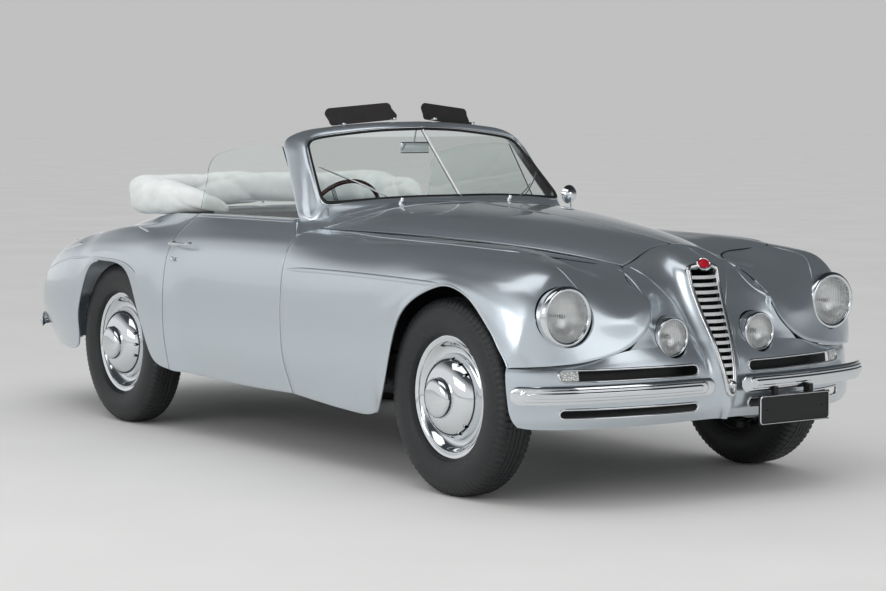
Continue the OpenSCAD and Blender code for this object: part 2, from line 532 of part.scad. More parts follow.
// Tyre in section, x is the radius and y points out from the car
module tyre() color([0.08, 0.08, 0.08]) rotate_extrude($fn = 96) polygon([
    [bead_r + seat_gap, -50.7], [rim_r + seat_gap, -50.7], [rim_r + seat_gap, -62], [rim_r + 12, -76],
    [rim_r + 36, -tyre_w / 2 + 2], [rim_r + 66, -tyre_w / 2], [rim_r + 100, -tyre_w / 2 + 5],
    [tyre_d / 2 - 18, -tyre_w / 2 + 14], [tyre_d / 2 - 5, -tyre_w / 2 + 24],
    [tyre_d / 2, -tyre_w / 2 + 42], [tyre_d / 2, tyre_w / 2 - 42],
    [tyre_d / 2 - 5, tyre_w / 2 - 24], [tyre_d / 2 - 18, tyre_w / 2 - 14],
    [rim_r + 100, tyre_w / 2 - 5], [rim_r + 66, tyre_w / 2], [rim_r + 36, tyre_w / 2 - 2],
    [rim_r + 12, 76], [rim_r + seat_gap, 62], [rim_r + seat_gap, 50.7],
    [bead_r + seat_gap, 50.7]]);

// Steel wheel with its brake drum, trim ring and domed cover, bored for the shaft
drum_r = 150;
hub_in = 46;
module wheel() color([0.8, 0.8, 0.82]) rotate_extrude($fn = 96) polygon(concat(
    [[0, 138], [40, 136], [62, 131], [76, 122], [78, 106]],
    [for (a = [10 : 10 : 80]) [78 + 84 * sin(a), 24 + 78 * cos(a)]],
    [[166, 20], [180, 18], [192, 24], [204, 38], [214, 48], [rim_r - 10, 55], [rim_r - 4, 57], [rim_r, 54],
     [rim_r, 51], [bead_r, 51], [bead_r, -51], [rim_r, -51], [rim_r, -54], [rim_r - 5, -57],
     [bead_r - 6, -52], [bead_r - 14, -30], [190, -14], [drum_r, -14], [drum_r, -58],
     [drum_r - 8, -58], [drum_r - 8, -20], [46, -20], [46, -hub_in], [axle_r + axle_play, -hub_in],
     [axle_r + axle_play, 44], [0, 44]]));

module front_wheel_place() translate([fax, -front_track / 2, wheel_z]) outward() children();
module rear_wheel_place() translate([rax, -rear_track / 2, wheel_z]) outward() children();
module tyre_front_right() place() front_wheel_place() tyre();
module tyre_front_left() place() left_side() front_wheel_place() tyre();
module tyre_rear_right() place() rear_wheel_place() tyre();
module tyre_rear_left() place() left_side() rear_wheel_place() tyre();
module wheel_front_right() place() front_wheel_place() wheel();
module wheel_front_left() place() left_side() front_wheel_place() wheel();
module wheel_rear_right() place() rear_wheel_place() wheel();
module wheel_rear_left() place() left_side() rear_wheel_place() wheel();

// Front knuckle: stub shaft, brake plate and a fork that holds the swivel pin
boss_h = 110;
ear_h = 24;
stub_end = 40;
fork_r = 30;
web_t = 12.5;
module knuckle() color([0.25, 0.25, 0.26]) {
    translate([fax, -swivel_y_front, wheel_z]) {
        for (z = [boss_h / 2 + hub_gap, -boss_h / 2 - hub_gap - ear_h])
            translate([0, 0, z]) cylinder(h = ear_h, r = fork_r);
        translate([-fork_r, -fork_r - web_t + 0.5, -boss_h / 2 - hub_gap - ear_h])
            cube([2 * fork_r, web_t, boss_h + 2 * hub_gap + 2 * ear_h]);
        cylinder(h = boss_h + 2 * ear_h, r = swivel_r, center = true);
    }
    translate([fax, -swivel_y_front - fork_r - web_t + 1, wheel_z]) outward()
        cylinder(h = swivel_in - fork_r - web_t + 1 + stub_end, r = axle_r);
    // Steering arm to the rear
    translate([fax - 150, -swivel_y_front - 10, wheel_z - boss_h / 2 - hub_gap - ear_h])
        cube([140, 20, 14]);
}
module knuckle_right() place() knuckle();
module knuckle_left() place() left_side() knuckle();

// Front suspension: swivel boss and trailing arms on each side, on the cross tube
module front_suspension() color([0.2, 0.2, 0.21]) place() {
    both_sides() difference() {
        union() {
            translate([fax, -swivel_y_front, wheel_z]) cylinder(h = boss_h, r = 28, center = true);
            translate([fax - 26, -swivel_y_front + 24, wheel_z - 30])
                cube([52, swivel_y_front - 24 - rail_y - rail_w / 2, 60]);
        }
        translate([fax, -swivel_y_front, wheel_z])
            cylinder(h = 2 * boss_h, r = swivel_r + axle_play, center = true);
    }
}
rail_y = 360;
rail_w = 70;
rail_h = 110;
rail_z = 330;
rear_rail_z = 430;
rear_rail_h = 70;
cross_h = 16;
pad_l = 60;
pad_h = 10;
module chassis() color([0.12, 0.12, 0.13]) place() {
    both_sides() {
        translate([rax + 230, -rail_y - rail_w / 2, rail_z])
            cube([wheelbase - 230 + 430, rail_w, rail_h]);
        translate([rax - 900, -rail_y - rail_w / 2, rear_rail_z])
            cube([900 + 310, rail_w, rear_rail_h]);
    }
    for (x = [rax + 420, 0, fax - 420, fax + 330])
        translate([x, -rail_y, rail_z]) cube([80, 2 * rail_y, cross_h]);
    translate([rax - 860, -rail_y, rear_rail_z]) cube([60, 2 * rail_y, cross_h]);
    // Jacking pads under the rails
    both_sides() for (x = [rax + 480, fax - 500])
        translate([x, -rail_y - pad_l / 2, rail_z - pad_h]) cube([pad_l, pad_l, pad_h + 1]);
    // Engine bearers
    for (x = [fax - 700, fax - 160])
        translate([x, -rail_y, engine_z - 40.3]) cube([60, 2 * rail_y, 40]);
}
prop_r = 24;
diff_r = 100;
module rear_axle() color([0.2, 0.2, 0.21]) place() {
    translate([rax, 0, wheel_z]) sphere(r = diff_r);
    translate([rax, 0, wheel_z]) outward()
        cylinder(h = rear_track - 2 * hub_in - 60, r = 34, center = true);
    translate([rax, 0, wheel_z]) outward()
        cylinder(h = rear_track + 60, r = axle_r, center = true);
    translate([rax + diff_r - 10, 0, wheel_z]) forward() cylinder(h = box_x - rax - diff_r + 9.7, r = prop_r);
}
engine_l = 760;
engine_z = 430;
engine_x = fax - 60 - engine_l;
box_l = 400;
box_r = 90;
box_x = engine_x - box_l;
module engine() color([0.3, 0.3, 0.32]) place() {
    translate([engine_x, -150, engine_z]) cube([engine_l, 300, 410]);
    translate([box_x, 0, engine_z + 20]) forward() cylinder(h = box_l + 1, r = box_r);
}
floor_z = rail_z + rail_h + seat_gap;
floor_t = 16;
tunnel_w = 124;
tunnel_h = 150;
floor_x0 = rax + 420;
firewall_x = fax - 1050;
floor_x1 = firewall_x - seat_gap;
cabin_w = 1280;
boot_floor_z = rear_rail_z + rear_rail_h + seat_gap;
module floor_pan() color([0.15, 0.15, 0.16]) place() {
    difference() {
        union() {
            translate([floor_x0, -cabin_w / 2, floor_z])
                cube([floor_x1 - floor_x0, cabin_w, floor_t]);
            both_sides() translate([floor_x0, -cabin_w / 2 - 46, rail_z - 20])
                cube([floor_x1 - floor_x0, 47, rail_h + 20 + floor_t + seat_gap]);
            translate([floor_x0, -tunnel_w - floor_t, floor_z])
                cube([floor_x1 - floor_x0, 2 * (tunnel_w + floor_t), tunnel_h + floor_t]);
        }
        translate([floor_x0 - 1, -tunnel_w, floor_z - 1])
            cube([floor_x1 - floor_x0 + 2, 2 * tunnel_w, tunnel_h + 1]);
    }
    translate([rax - 900, -rail_y - rail_w / 2, boot_floor_z])
        cube([900 + 420 + 1, 2 * rail_y + rail_w, floor_t]);
}

// Bulkheads across the car, each cut to the inner faces of the panels that it carries
plate_t = 12;
half_skin = panel_t / 2;
screen_x = fax + 402;
rear_plate_x = rax + 258;
module plate(x, half) translate([x, 0, 0]) rotate([90, 0, 90]) linear_extrude(plate_t)
    polygon(concat(half, [for (i = [len(half) - 1 : -1 : 0]) [-half[i][0], half[i][1]]]));
// Points of a section moved in from the skin, as [y, z]
function lowered(points) = [for (p = points) let(q = [p[1], p[2]], c = [-100, 600])
    q - half_skin * unit(q - c)];
module inner_body() color([0.13, 0.13, 0.14]) place() {
    // Firewall under the scuttle and out to the front wings
    difference() {
        plate(firewall_x, concat([[-560, 300], [-800, 320]],
            lowered(section(wing, firewall_x, [6.5, 6, 5, 4.5, 4, 3.5, 3, 2.5, 2, 1.5])),
            [[-700, 925], [-610, 945]],
            lowered(section(scuttle, firewall_x, [3.8, 3.5, 3, 2.5, 2, 1.5, 1, 0.5]))));
        both_sides() panel(wing_grid, -1, thick = panel_t + seat_gap);
        panel(cowl_grid, 1, thick = panel_t + seat_gap);
        translate([firewall_x - 1, -tunnel_w, 0]) cube([plate_t + 2, 2 * tunnel_w, floor_z + tunnel_h]);
        for (y = [-rail_y, rail_y]) translate([firewall_x - 1, y - rail_w / 2 - seat_gap, 0])
            cube([plate_t + 2, rail_w + 2 * seat_gap, rail_z + rail_h + seat_gap]);
        translate([0, -240, pipe_z]) forward() cylinder(h = 900, r = pipe_r + 8);
        column(2);
    }
    // Panel behind the headlamps, from the chassis rails up to the nose and the front wings
    difference() {
        plate(screen_x, concat([[-240, rail_z + rail_h + seat_gap], [-395, rail_z + rail_h + seat_gap],
            [-420, 700], [-805, 700]],
            lowered(section(wing, screen_x, [4.6, 4.2, 3.8, 3.4, 3, 2.5, 2, 1.5, 1, 0.5])),
            lowered(section(nose, screen_x, [4.5, 4, 3, 2, 1, 0.5]))));
        both_sides() panel(wing_grid, -1, thick = panel_t + seat_gap);
        panel(full(patch(nose, steps(0, 6, 12), steps(0, 5, 10))), -1, thick = panel_t + seat_gap);
    }
    // Bulkhead behind the seats, from the boot floor up to the deck and the rear wings
    difference() {
        plate(rear_plate_x, concat([[-300, boot_floor_z + floor_t + seat_gap],
            [-395, boot_floor_z + floor_t + seat_gap], [-560, 820], [-800, 820]],
            lowered(section(side, rear_plate_x, [3.6, 3.2, 2.8, 2.4, 2, 1.5, 1, 0.5])),
            lowered(section(deck, rear_plate_x, [4.5, 4, 3, 2, 1, 0.5]))));
        panel(rear_grid, 1, thick = panel_t + seat_gap);
        panel(deck_grid, 1, thick = panel_t + seat_gap);
    }
}
module fuel_tank() color([0.14, 0.14, 0.15]) place()
    translate([rax - 700, -rail_y + rail_w / 2 + 20, boot_floor_z - seat_gap - 110])
        cube([420, 2 * (rail_y - rail_w / 2 - 20), 110]);
pipe_r = 22;
muffler_r = 45;
pipe_z = rail_z - seat_gap - muffler_r;
module exhaust() color([0.35, 0.33, 0.3]) place() {
    translate([rax - 980, -240, pipe_z]) forward() cylinder(h = wheelbase + 500, r = pipe_r);
    translate([-420, -240, pipe_z]) forward() cylinder(h = 620, r = muffler_r);
}
// Dash: a top from under the scuttle's edge to the face with the instruments
dash_x = 62;
dash_net = [[[250, 0, 1073.2], [242, 150, 1071.2], [218, 300, 1065.2], [178, 440, 1052.2],
        [126, 570, 1029.4], [108, 600, 1017]],
    [[dash_x, 0, 1046], [dash_x, 150, 1045], [dash_x, 300, 1042], [dash_x, 440, 1036],
        [dash_x, 560, 1020], [dash_x, 596, 1009]]];
module dashboard() color([0.3, 0.2, 0.13]) place() {
    panel(full(patch(put_net(dash_net), steps(0, 1, 3), steps(0, 5, 10))), 1, thick = 10);
    translate([dash_x + half_stretch, 0, 0]) rotate([90, 0, 90]) linear_extrude(44) polygon([
        [-594, 890], [-594, 1003], [-440, 1029], [-300, 1036], [0, 1040], [300, 1036], [440, 1029],
        [594, 1003], [594, 890]]);
    column();
}
seat_l = 520;
seat_w = 440;
module seats() color([0.45, 0.2, 0.15]) place() both_sides() {
    translate([-690, -605, floor_z + floor_t + seat_gap]) cube([seat_l, seat_w, 160]);
    translate([-812, -605, floor_z + floor_t + seat_gap]) rotate([0, -8, 0]) cube([112, seat_w, 520]);
}

// Steering wheel on the column, tilted back
wheel_y = 330;
steer_x = -130;
steer_z = 985;
steer_tilt = 25;
steer_r = steering_d / 2;
steer_shaft = 11;
column_l = 540;
module steer_place() translate([steer_x, -wheel_y, steer_z]) rotate([0, 90 + steer_tilt, 0]) children();
module column(grow = 0) steer_place() {
    cylinder(h = 530, r = steer_shaft + grow);
    translate([0, 0, 40]) cylinder(h = column_l - 40, r = 24 + grow);
}
module steering_wheel() color([0.25, 0.1, 0.05]) place() steer_place() {
    rotate_extrude($fn = 72) translate([steer_r - steering_rim / 2, 0])
        circle(d = steering_rim, $fn = 24);
    difference() {
        union() {
            translate([0, 0, -14]) cylinder(h = 44, r = 30);
            for (a = [90, 210, 330]) rotate(a) translate([20, -9, -3])
                cube([steer_r - 20 - steering_rim / 2, 18, 6]);
        }
        translate([0, 0, -4]) cylinder(h = 60, r = steer_shaft + axle_play);
    }
}

// Bright work
chrome = [0.85, 0.86, 0.88];
module headlamps() color(chrome) place() both_sides()
    translate([headlamp_x - 90, -headlamp_y, headlamp_z]) forward() rotate_extrude($fn = 72)
        polygon(concat([[0, 0], [headlamp_d / 2 - 20, 0], [headlamp_d / 2, 30],
            [headlamp_d / 2, 78], [headlamp_d / 2 - 7, 88], [headlamp_d / 2 - 16, 86]],
            [for (a = [60 : -12 : 0]) [(headlamp_d / 2 - 16) * sin(a) / sin(60),
                86 + 24 * (cos(a) - 0.5) * 2]]));
module fog_lamps() color(chrome) place() both_sides() {
    translate([fog_lamp_x - 60, -fog_lamp_y, fog_lamp_z]) forward() rotate_extrude($fn = 72)
        polygon(concat([[0, 0], [fog_lamp_d / 2, 20], [fog_lamp_d / 2, 52],
            [fog_lamp_d / 2 - 6, 60], [fog_lamp_d / 2 - 11, 59]],
            [for (a = [60 : -12 : 0]) [(fog_lamp_d / 2 - 11) * sin(a) / sin(60),
                59 + 9 * (cos(a) - 0.5) * 2]]));
    // Indicators behind the outer ends of the upper slots
    translate([fax + 558, -668 * wide, 493]) rotate([0, 0, -22.6]) translate([-30, -16, -9])
        cube([34, 32, 18]);
    difference() {
        translate([fax + 558, -668 * wide, 493]) rotate([0, 0, -22.6]) translate([-40, -32, -27])
            cube([34, 64, 52]);
        panel(apron_grid, -1, thick = panel_t + seat_gap);
    }
}

// Grille: a chrome shield outline and curved bars in front of the opening
grille_edge = [[1885, 70, 862], [1902, 68, 800], [1940, 60, 714], [1980, 50, 638],
    [2004, 43, 590], [2030, 32, 520], [2042, 25, 476], [2050, 16, 425]];
module grille_surround(grow = 0) both_sides()
    bar([for (p = grille_edge) concat(put(p), [8 + grow, 10 + grow])], 6, [1, 0, 0]);
module grille() color(chrome) place() {
    edge = [for (p = grille_edge) put(p)];
    grille_surround();
    for (k = [1 : grille_bars])
        let(t = (len(edge) - 1) * k / (grille_bars + 1), p = along(edge, t),
            dx = 30 - 18 * k / grille_bars)
        bar([for (y = [-1 : 0.5 : 1]) [p[0] + dx * (1 - y * y) - 4, y * (-p[1] - 5), p[2], 5, 7]],
            4, [0, 0, 1]);
    // Blank badge over the bars
    difference() {
        translate([fax + 540, 0, 874]) rotate([0, 40, 0]) cylinder(h = 20, r = 26);
        translate([seat_gap / 2, 0, seat_gap]) panel(full(patch(nose, steps(0, 6, 12), steps(0, 5, 10))),
            -1, thick = 40);
    }
}

// Bumper halves: rounded blades round the corners, on short brackets
bumper_front = [[2048, 66], [2044, 180], [2034, 360], [2008, 540], [1966, 700], [1916, 800],
    [1850, 872]];
bumper_rear = [[-2600, 60], [-2595, 200], [-2564, 440], [-2522, 565], [-2453, 675], [-2363, 735],
    [-2264, 786]];
bumper_z = 436;
rear_bumper_z = 415;
module bumper_blade(line, z) bar([for (i = [0 : len(line) - 1])
    let(p = put([line[i][0], line[i][1], z]), tip = i == 0 || i == len(line) - 1 ? 0.6 : 1)
    [p[0], p[1], p[2], 13 * tip, bumper_h / 2 * tip]], 8);
module bumpers() color(chrome) place() both_sides() {
    bumper_blade(bumper_front, bumper_z);
    difference() {
        for (p = [[2000, 240], [1948, 560]]) translate(put([p[0], p[1], bumper_z])) forward()
            cylinder(h = 42, r = 14);
        translate([seat_gap, 0, 0]) panel(apron_grid, -1, thick = 40);
    }
    bumper_blade(bumper_rear, rear_bumper_z);
    difference() {
        for (p = [[-2592, 240], [-2524, 540]]) translate(put([p[0], p[1], rear_bumper_z])) forward()
            cylinder(h = 40, r = 14);
        translate([-seat_gap, 0, 0]) panel(side_grid, 1, thick = 40);
    }
}

// Tail lamps follow the crest of the rear wings
module tail_lamps() color([0.6, 0.1, 0.08]) place() both_sides()
    panel(raise([for (i = [15, 16, 17]) [for (j = [3, 4]) side_grid[i][j]]], seat_gap), -1, thick = 9);

// Plate on two straps under the left bumper, with its screw holes
plate_x = 2062;
plate_y = 320;
plate_z = 331;
plate_size = [6, 360, 112];
screw_y = 140;
screw_r = 3;
module number_plate() color([0.05, 0.05, 0.05]) place() {
    translate([half_stretch, 0, 0]) difference() {
        translate([plate_x - plate_size[0], plate_y - plate_size[1] / 2, plate_z - plate_size[2] / 2])
            cube(plate_size);
        for (y = [-screw_y, screw_y]) translate([plate_x - 20, plate_y + y, plate_z]) forward()
            cylinder(h = 40, r = screw_r);
    }
    translate([half_stretch, 0, 0]) difference() {
        for (p = [[2042, 220], [2029, 400]]) translate([p[0] - 5, p[1], 372])
            cube([plate_x - plate_size[0] + 5.5 - p[0], 20, bumper_z - 372]);
        left_side() bumper_blade(bumper_front, bumper_z - seat_gap);
        translate([0, 0, bumper_z - 20]) translate([1900, 0, 0]) cube([300, 700, 200]);
    }
}
module wipers() color(chrome) place() difference() {
    for (y = [-330, 250]) translate([345 + half_stretch, y, 1050]) cylinder(h = 52, r = 12);
    translate([0, 0, seat_gap]) panel(cowl_grid, 1, thick = 60);
}

// Sun visors folded up over the windscreen, on tabs behind its top rail
visor_t = 5;
module visor(w, h) translate([-visor_t, 0, 0]) cube([visor_t, w, h]);
module sun_visors() color([0.16, 0.1, 0.09]) place() {
    translate([-72, -80, 1432]) rotate([-5, 0, 171.5]) visor(345, 72);
    translate([-72, 55, 1434]) rotate([-6, 0, 9]) visor(300, 68);
    difference() {
        for (p = [[-81, -120, 1425], [-118, -360, 1403], [-86, 100, 1425], [-118, 330, 1403]])
            translate(p) cube([48, 16, 12]);
        translate([-seat_gap, 0, 0]) screen_bar(frame_half, [0.8, 0, 0.6]);
    }
}
module mirrors() color(chrome) place() {
    // Inside mirror under the top rail
    translate([-62, -70, 1276]) cube([12, 150, 50]);
    difference() {
        translate([-56, 0, 1320]) rotate([0, 18, 0]) cylinder(h = 90, r = 5);
        translate([0, 0, -seat_gap]) screen_bar(frame_half, [0.8, 0, 0.6]);
        translate([-100, -50, 1410]) cube([200, 100, 100]);
    }
    // Outside mirror on the left of the scuttle
    translate([150, 714 * wide, 1086]) forward() cylinder(h = 30, r1 = 20, r2 = 42);
    difference() {
        translate([160, 714 * wide, 950]) cylinder(h = 136, r = 6);
        translate([0, 0, seat_gap]) panel(cowl_grid, 1, thick = 60);
    }
}

chassis();
floor_pan();
inner_body();
cowl();
nose_panel();
front_apron();
front_wings();
rear_wings();
rear_deck();
windscreen_frame();
windscreen_glass();
dashboard();
seats();
hood_cover();
grille();
bumpers();
headlamps();
fog_lamps();
tail_lamps();
number_plate();
wipers();
sun_visors();
mirrors();
bonnet_hinge();
engine();
rear_axle();
front_suspension();
exhaust();
fuel_tank();
steering_wheel();
bonnet_right();
bonnet_left();
door_right();
door_left();
door_glass_right();
door_glass_left();
boot_lid();
knuckle_right();
knuckle_left();
tyre_front_right();
tyre_front_left();
tyre_rear_right();
tyre_rear_left();
wheel_front_right();
wheel_front_left();
wheel_rear_right();
wheel_rear_left();
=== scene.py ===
"""Silver-grey two-seat convertible of the late 1940s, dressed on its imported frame."""
import math

import bpy
import numpy as np
from mathutils import Matrix, Vector


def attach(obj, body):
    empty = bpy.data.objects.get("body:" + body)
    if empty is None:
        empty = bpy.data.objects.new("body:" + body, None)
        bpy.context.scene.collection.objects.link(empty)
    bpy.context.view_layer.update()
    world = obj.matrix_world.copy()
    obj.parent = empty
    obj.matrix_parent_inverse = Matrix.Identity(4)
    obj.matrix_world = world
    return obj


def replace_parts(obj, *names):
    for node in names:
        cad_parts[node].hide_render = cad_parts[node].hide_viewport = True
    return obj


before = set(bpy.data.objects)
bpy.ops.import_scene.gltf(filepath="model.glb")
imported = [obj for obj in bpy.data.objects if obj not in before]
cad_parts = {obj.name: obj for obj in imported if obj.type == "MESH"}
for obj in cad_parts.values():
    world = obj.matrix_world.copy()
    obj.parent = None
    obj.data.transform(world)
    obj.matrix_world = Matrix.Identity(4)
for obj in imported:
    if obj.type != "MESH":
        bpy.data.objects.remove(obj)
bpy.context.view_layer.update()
bpy.ops.object.select_all(action="DESELECT")

# Lines are drawn in millimetres from midway between the axles, x forward, y out to the right
MID = 272.5
AXLE = 1350.0
GAP = 4.0
BODY = "body"
HEADLAMP, FOG_LAMP = (1903, 658, 714), (1974, 215, 622)


def metres(points, left=False):
    p = np.array(points, float) / 1000
    p[..., 0] += MID / 1000
    if not left:
        p[..., 1] *= -1
    return p


# Nets of the body panels, rows along the car and columns from the top edge down and out
WING = np.array([
    [[262, 690, 972], [240, 728, 964], [228, 765, 950], [228, 815, 900], [226, 846, 815],
     [220, 858, 650], [226, 851, 450], [248, 815, 288]],
    [[600, 592, 962], [600, 636, 958], [600, 698, 945], [600, 775, 903], [600, 838, 818],
     [600, 854, 660], [600, 850, 460], [600, 806, 262]],
    [[850, 515, 953], [850, 576, 955], [850, 660, 950], [850, 760, 905], [850, 832, 818],
     [846, 848, 670], [838, 846, 480], [830, 800, 262]],
    [[1050, 455, 942], [1050, 540, 950], [1050, 640, 952], [1048, 755, 912], [1040, 826, 835],
     [1010, 846, 720], [975, 850, 560], [950, 838, 350]],
    [[1180, 415, 934], [1180, 520, 946], [1180, 630, 952], [1178, 752, 914], [1170, 822, 850],
     [1150, 842, 785], [1125, 848, 730], [1095, 852, 672]],
    [[1350, 365, 920], [1350, 480, 938], [1350, 610, 948], [1350, 745, 912], [1350, 815, 862],
     [1350, 838, 832], [1350, 846, 815], [1350, 850, 802]],
    [[1520, 315, 902], [1520, 430, 912], [1520, 580, 938], [1520, 735, 905], [1525, 808, 850],
     [1530, 836, 818], [1535, 846, 800], [1540, 850, 782]],
    [[1660, 284, 886], [1662, 420, 868], [1665, 545, 912], [1670, 700, 905], [1672, 795, 840],
     [1675, 832, 780], [1682, 846, 725], [1690, 850, 668]],
    [[1748, 270, 869], [1775, 400, 845], [1785, 520, 872], [1796, 665, 888], [1788, 765, 825],
     [1780, 815, 745], [1765, 840, 665], [1750, 850, 600]],
    [[1798, 300, 837], [1868, 365, 800], [1882, 470, 795], [1862, 645, 826], [1852, 745, 766],
     [1836, 800, 690], [1815, 832, 625], [1782, 849, 565]],
    [[1838, 310, 812], [1925, 330, 765], [1950, 425, 708], [1916, 580, 692], [1882, 715, 668],
     [1858, 785, 628], [1835, 826, 582], [1795, 848, 545]],
    [[1850, 306, 808], [1940, 300, 752], [1972, 330, 668], [1970, 430, 590], [1945, 585, 552],
     [1905, 715, 540], [1858, 800, 536], [1802, 848, 533]]], float)
SIDE = np.array([
    [[90, 690, 1006], [130, 722, 985], [205, 768, 950], [226, 815, 900], [224, 846, 815],
     [218, 858, 650], [224, 851, 450], [246, 815, 288]],
    [[-100, 690, 1006], [-100, 722, 985], [-100, 770, 948], [-100, 818, 898], [-100, 848, 810],
     [-100, 860, 650], [-100, 853, 450], [-100, 818, 284]],
    [[-450, 690, 1005], [-450, 722, 984], [-450, 772, 944], [-450, 820, 893], [-450, 849, 805],
     [-450, 860, 650], [-450, 853, 460], [-450, 822, 290]],
    [[-640, 690, 1004], [-640, 722, 982], [-640, 772, 940], [-640, 820, 888], [-640, 850, 800],
     [-640, 862, 650], [-640, 858, 470], [-640, 832, 296]],
    [[-780, 688, 1002], [-780, 720, 980], [-780, 772, 936], [-780, 822, 884], [-780, 862, 800],
     [-780, 882, 650], [-776, 882, 470], [-770, 858, 302]],
    [[-900, 684, 1000], [-900, 718, 978], [-900, 775, 934], [-900, 836, 875], [-905, 872, 790],
     [-920, 884, 650], [-925, 884, 500], [-915, 868, 345]],
    [[-1010, 676, 998], [-1010, 716, 972], [-1010, 780, 932], [-1010, 845, 870], [-1010, 874, 790],
     [-1016, 884, 700], [-1018, 884, 620], [-1014, 880, 520]],
    [[-1150, 655, 985], [-1150, 712, 952], [-1150, 785, 928], [-1150, 846, 868], [-1148, 872, 815],
     [-1145, 880, 780], [-1142, 882, 755], [-1138, 882, 728]],
    [[-1350, 610, 965], [-1350, 700, 934], [-1350, 780, 918], [-1350, 842, 862], [-1350, 868, 820],
     [-1350, 876, 796], [-1350, 880, 780], [-1350, 880, 766]],
    [[-1530, 570, 940], [-1530, 670, 914], [-1530, 765, 900], [-1530, 830, 850], [-1532, 860, 804],
     [-1535, 870, 776], [-1538, 874, 752], [-1540, 875, 730]],
    [[-1680, 540, 915], [-1680, 640, 894], [-1680, 740, 882], [-1682, 812, 832], [-1685, 846, 768],
     [-1690, 858, 690], [-1696, 862, 600], [-1700, 858, 520]],
    [[-1850, 505, 888], [-1850, 600, 878], [-1850, 700, 868], [-1850, 786, 828], [-1850, 838, 745],
     [-1850, 858, 625], [-1810, 856, 470], [-1762, 828, 340]],
    [[-2060, 450, 855], [-2060, 540, 848], [-2060, 640, 836], [-2060, 738, 800], [-2060, 800, 720],
     [-2060, 828, 600], [-2040, 826, 460], [-1990, 788, 312]],
    [[-2270, 370, 800], [-2270, 450, 792], [-2270, 560, 778], [-2270, 665, 745], [-2272, 735, 680],
     [-2275, 768, 570], [-2255, 762, 440], [-2205, 712, 305]],
    [[-2420, 270, 738], [-2425, 345, 730], [-2430, 440, 716], [-2435, 545, 685], [-2442, 622, 630],
     [-2450, 662, 540], [-2435, 656, 430], [-2375, 600, 305]],
    [[-2500, 150, 694], [-2507, 200, 685], [-2517, 270, 668], [-2528, 345, 638], [-2540, 405, 590],
     [-2552, 438, 520], [-2538, 434, 425], [-2478, 390, 305]],
    [[-2526, 60, 672], [-2533, 85, 660], [-2545, 122, 640], [-2557, 160, 607], [-2570, 190, 562],
     [-2581, 206, 505], [-2567, 204, 420], [-2506, 182, 305]],
    [[-2532, 0, 665], [-2540, 0, 652], [-2552, 0, 630], [-2564, 0, 598], [-2577, 0, 555],
     [-2588, 0, 500], [-2574, 0, 418], [-2514, 0, 305]]], float)
BONNET = np.array([
    [[405, 8.6, 1077], [402, 150, 1074], [392, 300, 1066], [368, 440, 1046], [325, 580, 1010],
     [262, 688, 974]],
    [[600, 8.6, 1064], [600, 150, 1062], [600, 300, 1055], [598, 430, 1038], [598, 530, 1005],
     [600, 590, 966]],
    [[850, 8.6, 1047], [850, 140, 1045], [850, 270, 1038], [850, 380, 1021], [850, 465, 990],
     [850, 513, 957]],
    [[1100, 8.6, 1027], [1100, 120, 1025], [1100, 230, 1016], [1100, 320, 1000], [1100, 395, 975],
     [1100, 438, 945]],
    [[1350, 8.6, 1001], [1350, 105, 998], [1350, 200, 988], [1350, 275, 972], [1350, 330, 950],
     [1350, 362, 925]],
    [[1540, 8.6, 977], [1542, 90, 973], [1545, 165, 962], [1548, 230, 945], [1550, 275, 924],
     [1550, 304, 902]],
    [[1706, 8.6, 952], [1712, 65, 948], [1722, 125, 934], [1730, 175, 915], [1735, 220, 893],
     [1730, 254, 876]]], float)
NOSE = np.array([
    [[1716, 0, 951], [1717, 45, 948], [1724, 95, 940], [1734, 150, 922], [1742, 210, 893],
     [1740, 262, 872]],
    [[1808, 0, 924], [1800, 45, 918], [1778, 95, 902], [1770, 150, 886], [1772, 225, 862],
     [1780, 286, 846]],
    [[1896, 0, 877], [1866, 68, 868], [1828, 96, 852], [1812, 150, 838], [1822, 225, 826],
     [1838, 301, 808]],
    [[1938, 0, 800], [1898, 67, 795], [1862, 98, 790], [1858, 145, 782], [1876, 220, 768],
     [1933, 293.5, 747]],
    [[1972, 0, 715], [1936, 58, 712], [1902, 92, 708], [1905, 135, 702], [1926, 215, 688],
     [1965, 322, 669]],
    [[2004, 0, 640], [1976, 49, 637], [1946, 84, 634], [1950, 125, 630], [1962, 215, 618],
     [1968, 384, 610]],
    [[2017, 0, 604], [1993, 44, 601], [1965, 80, 598], [1971.5, 120, 595.3], [1977, 215, 591.2],
     [1967, 412, 583]]], float)
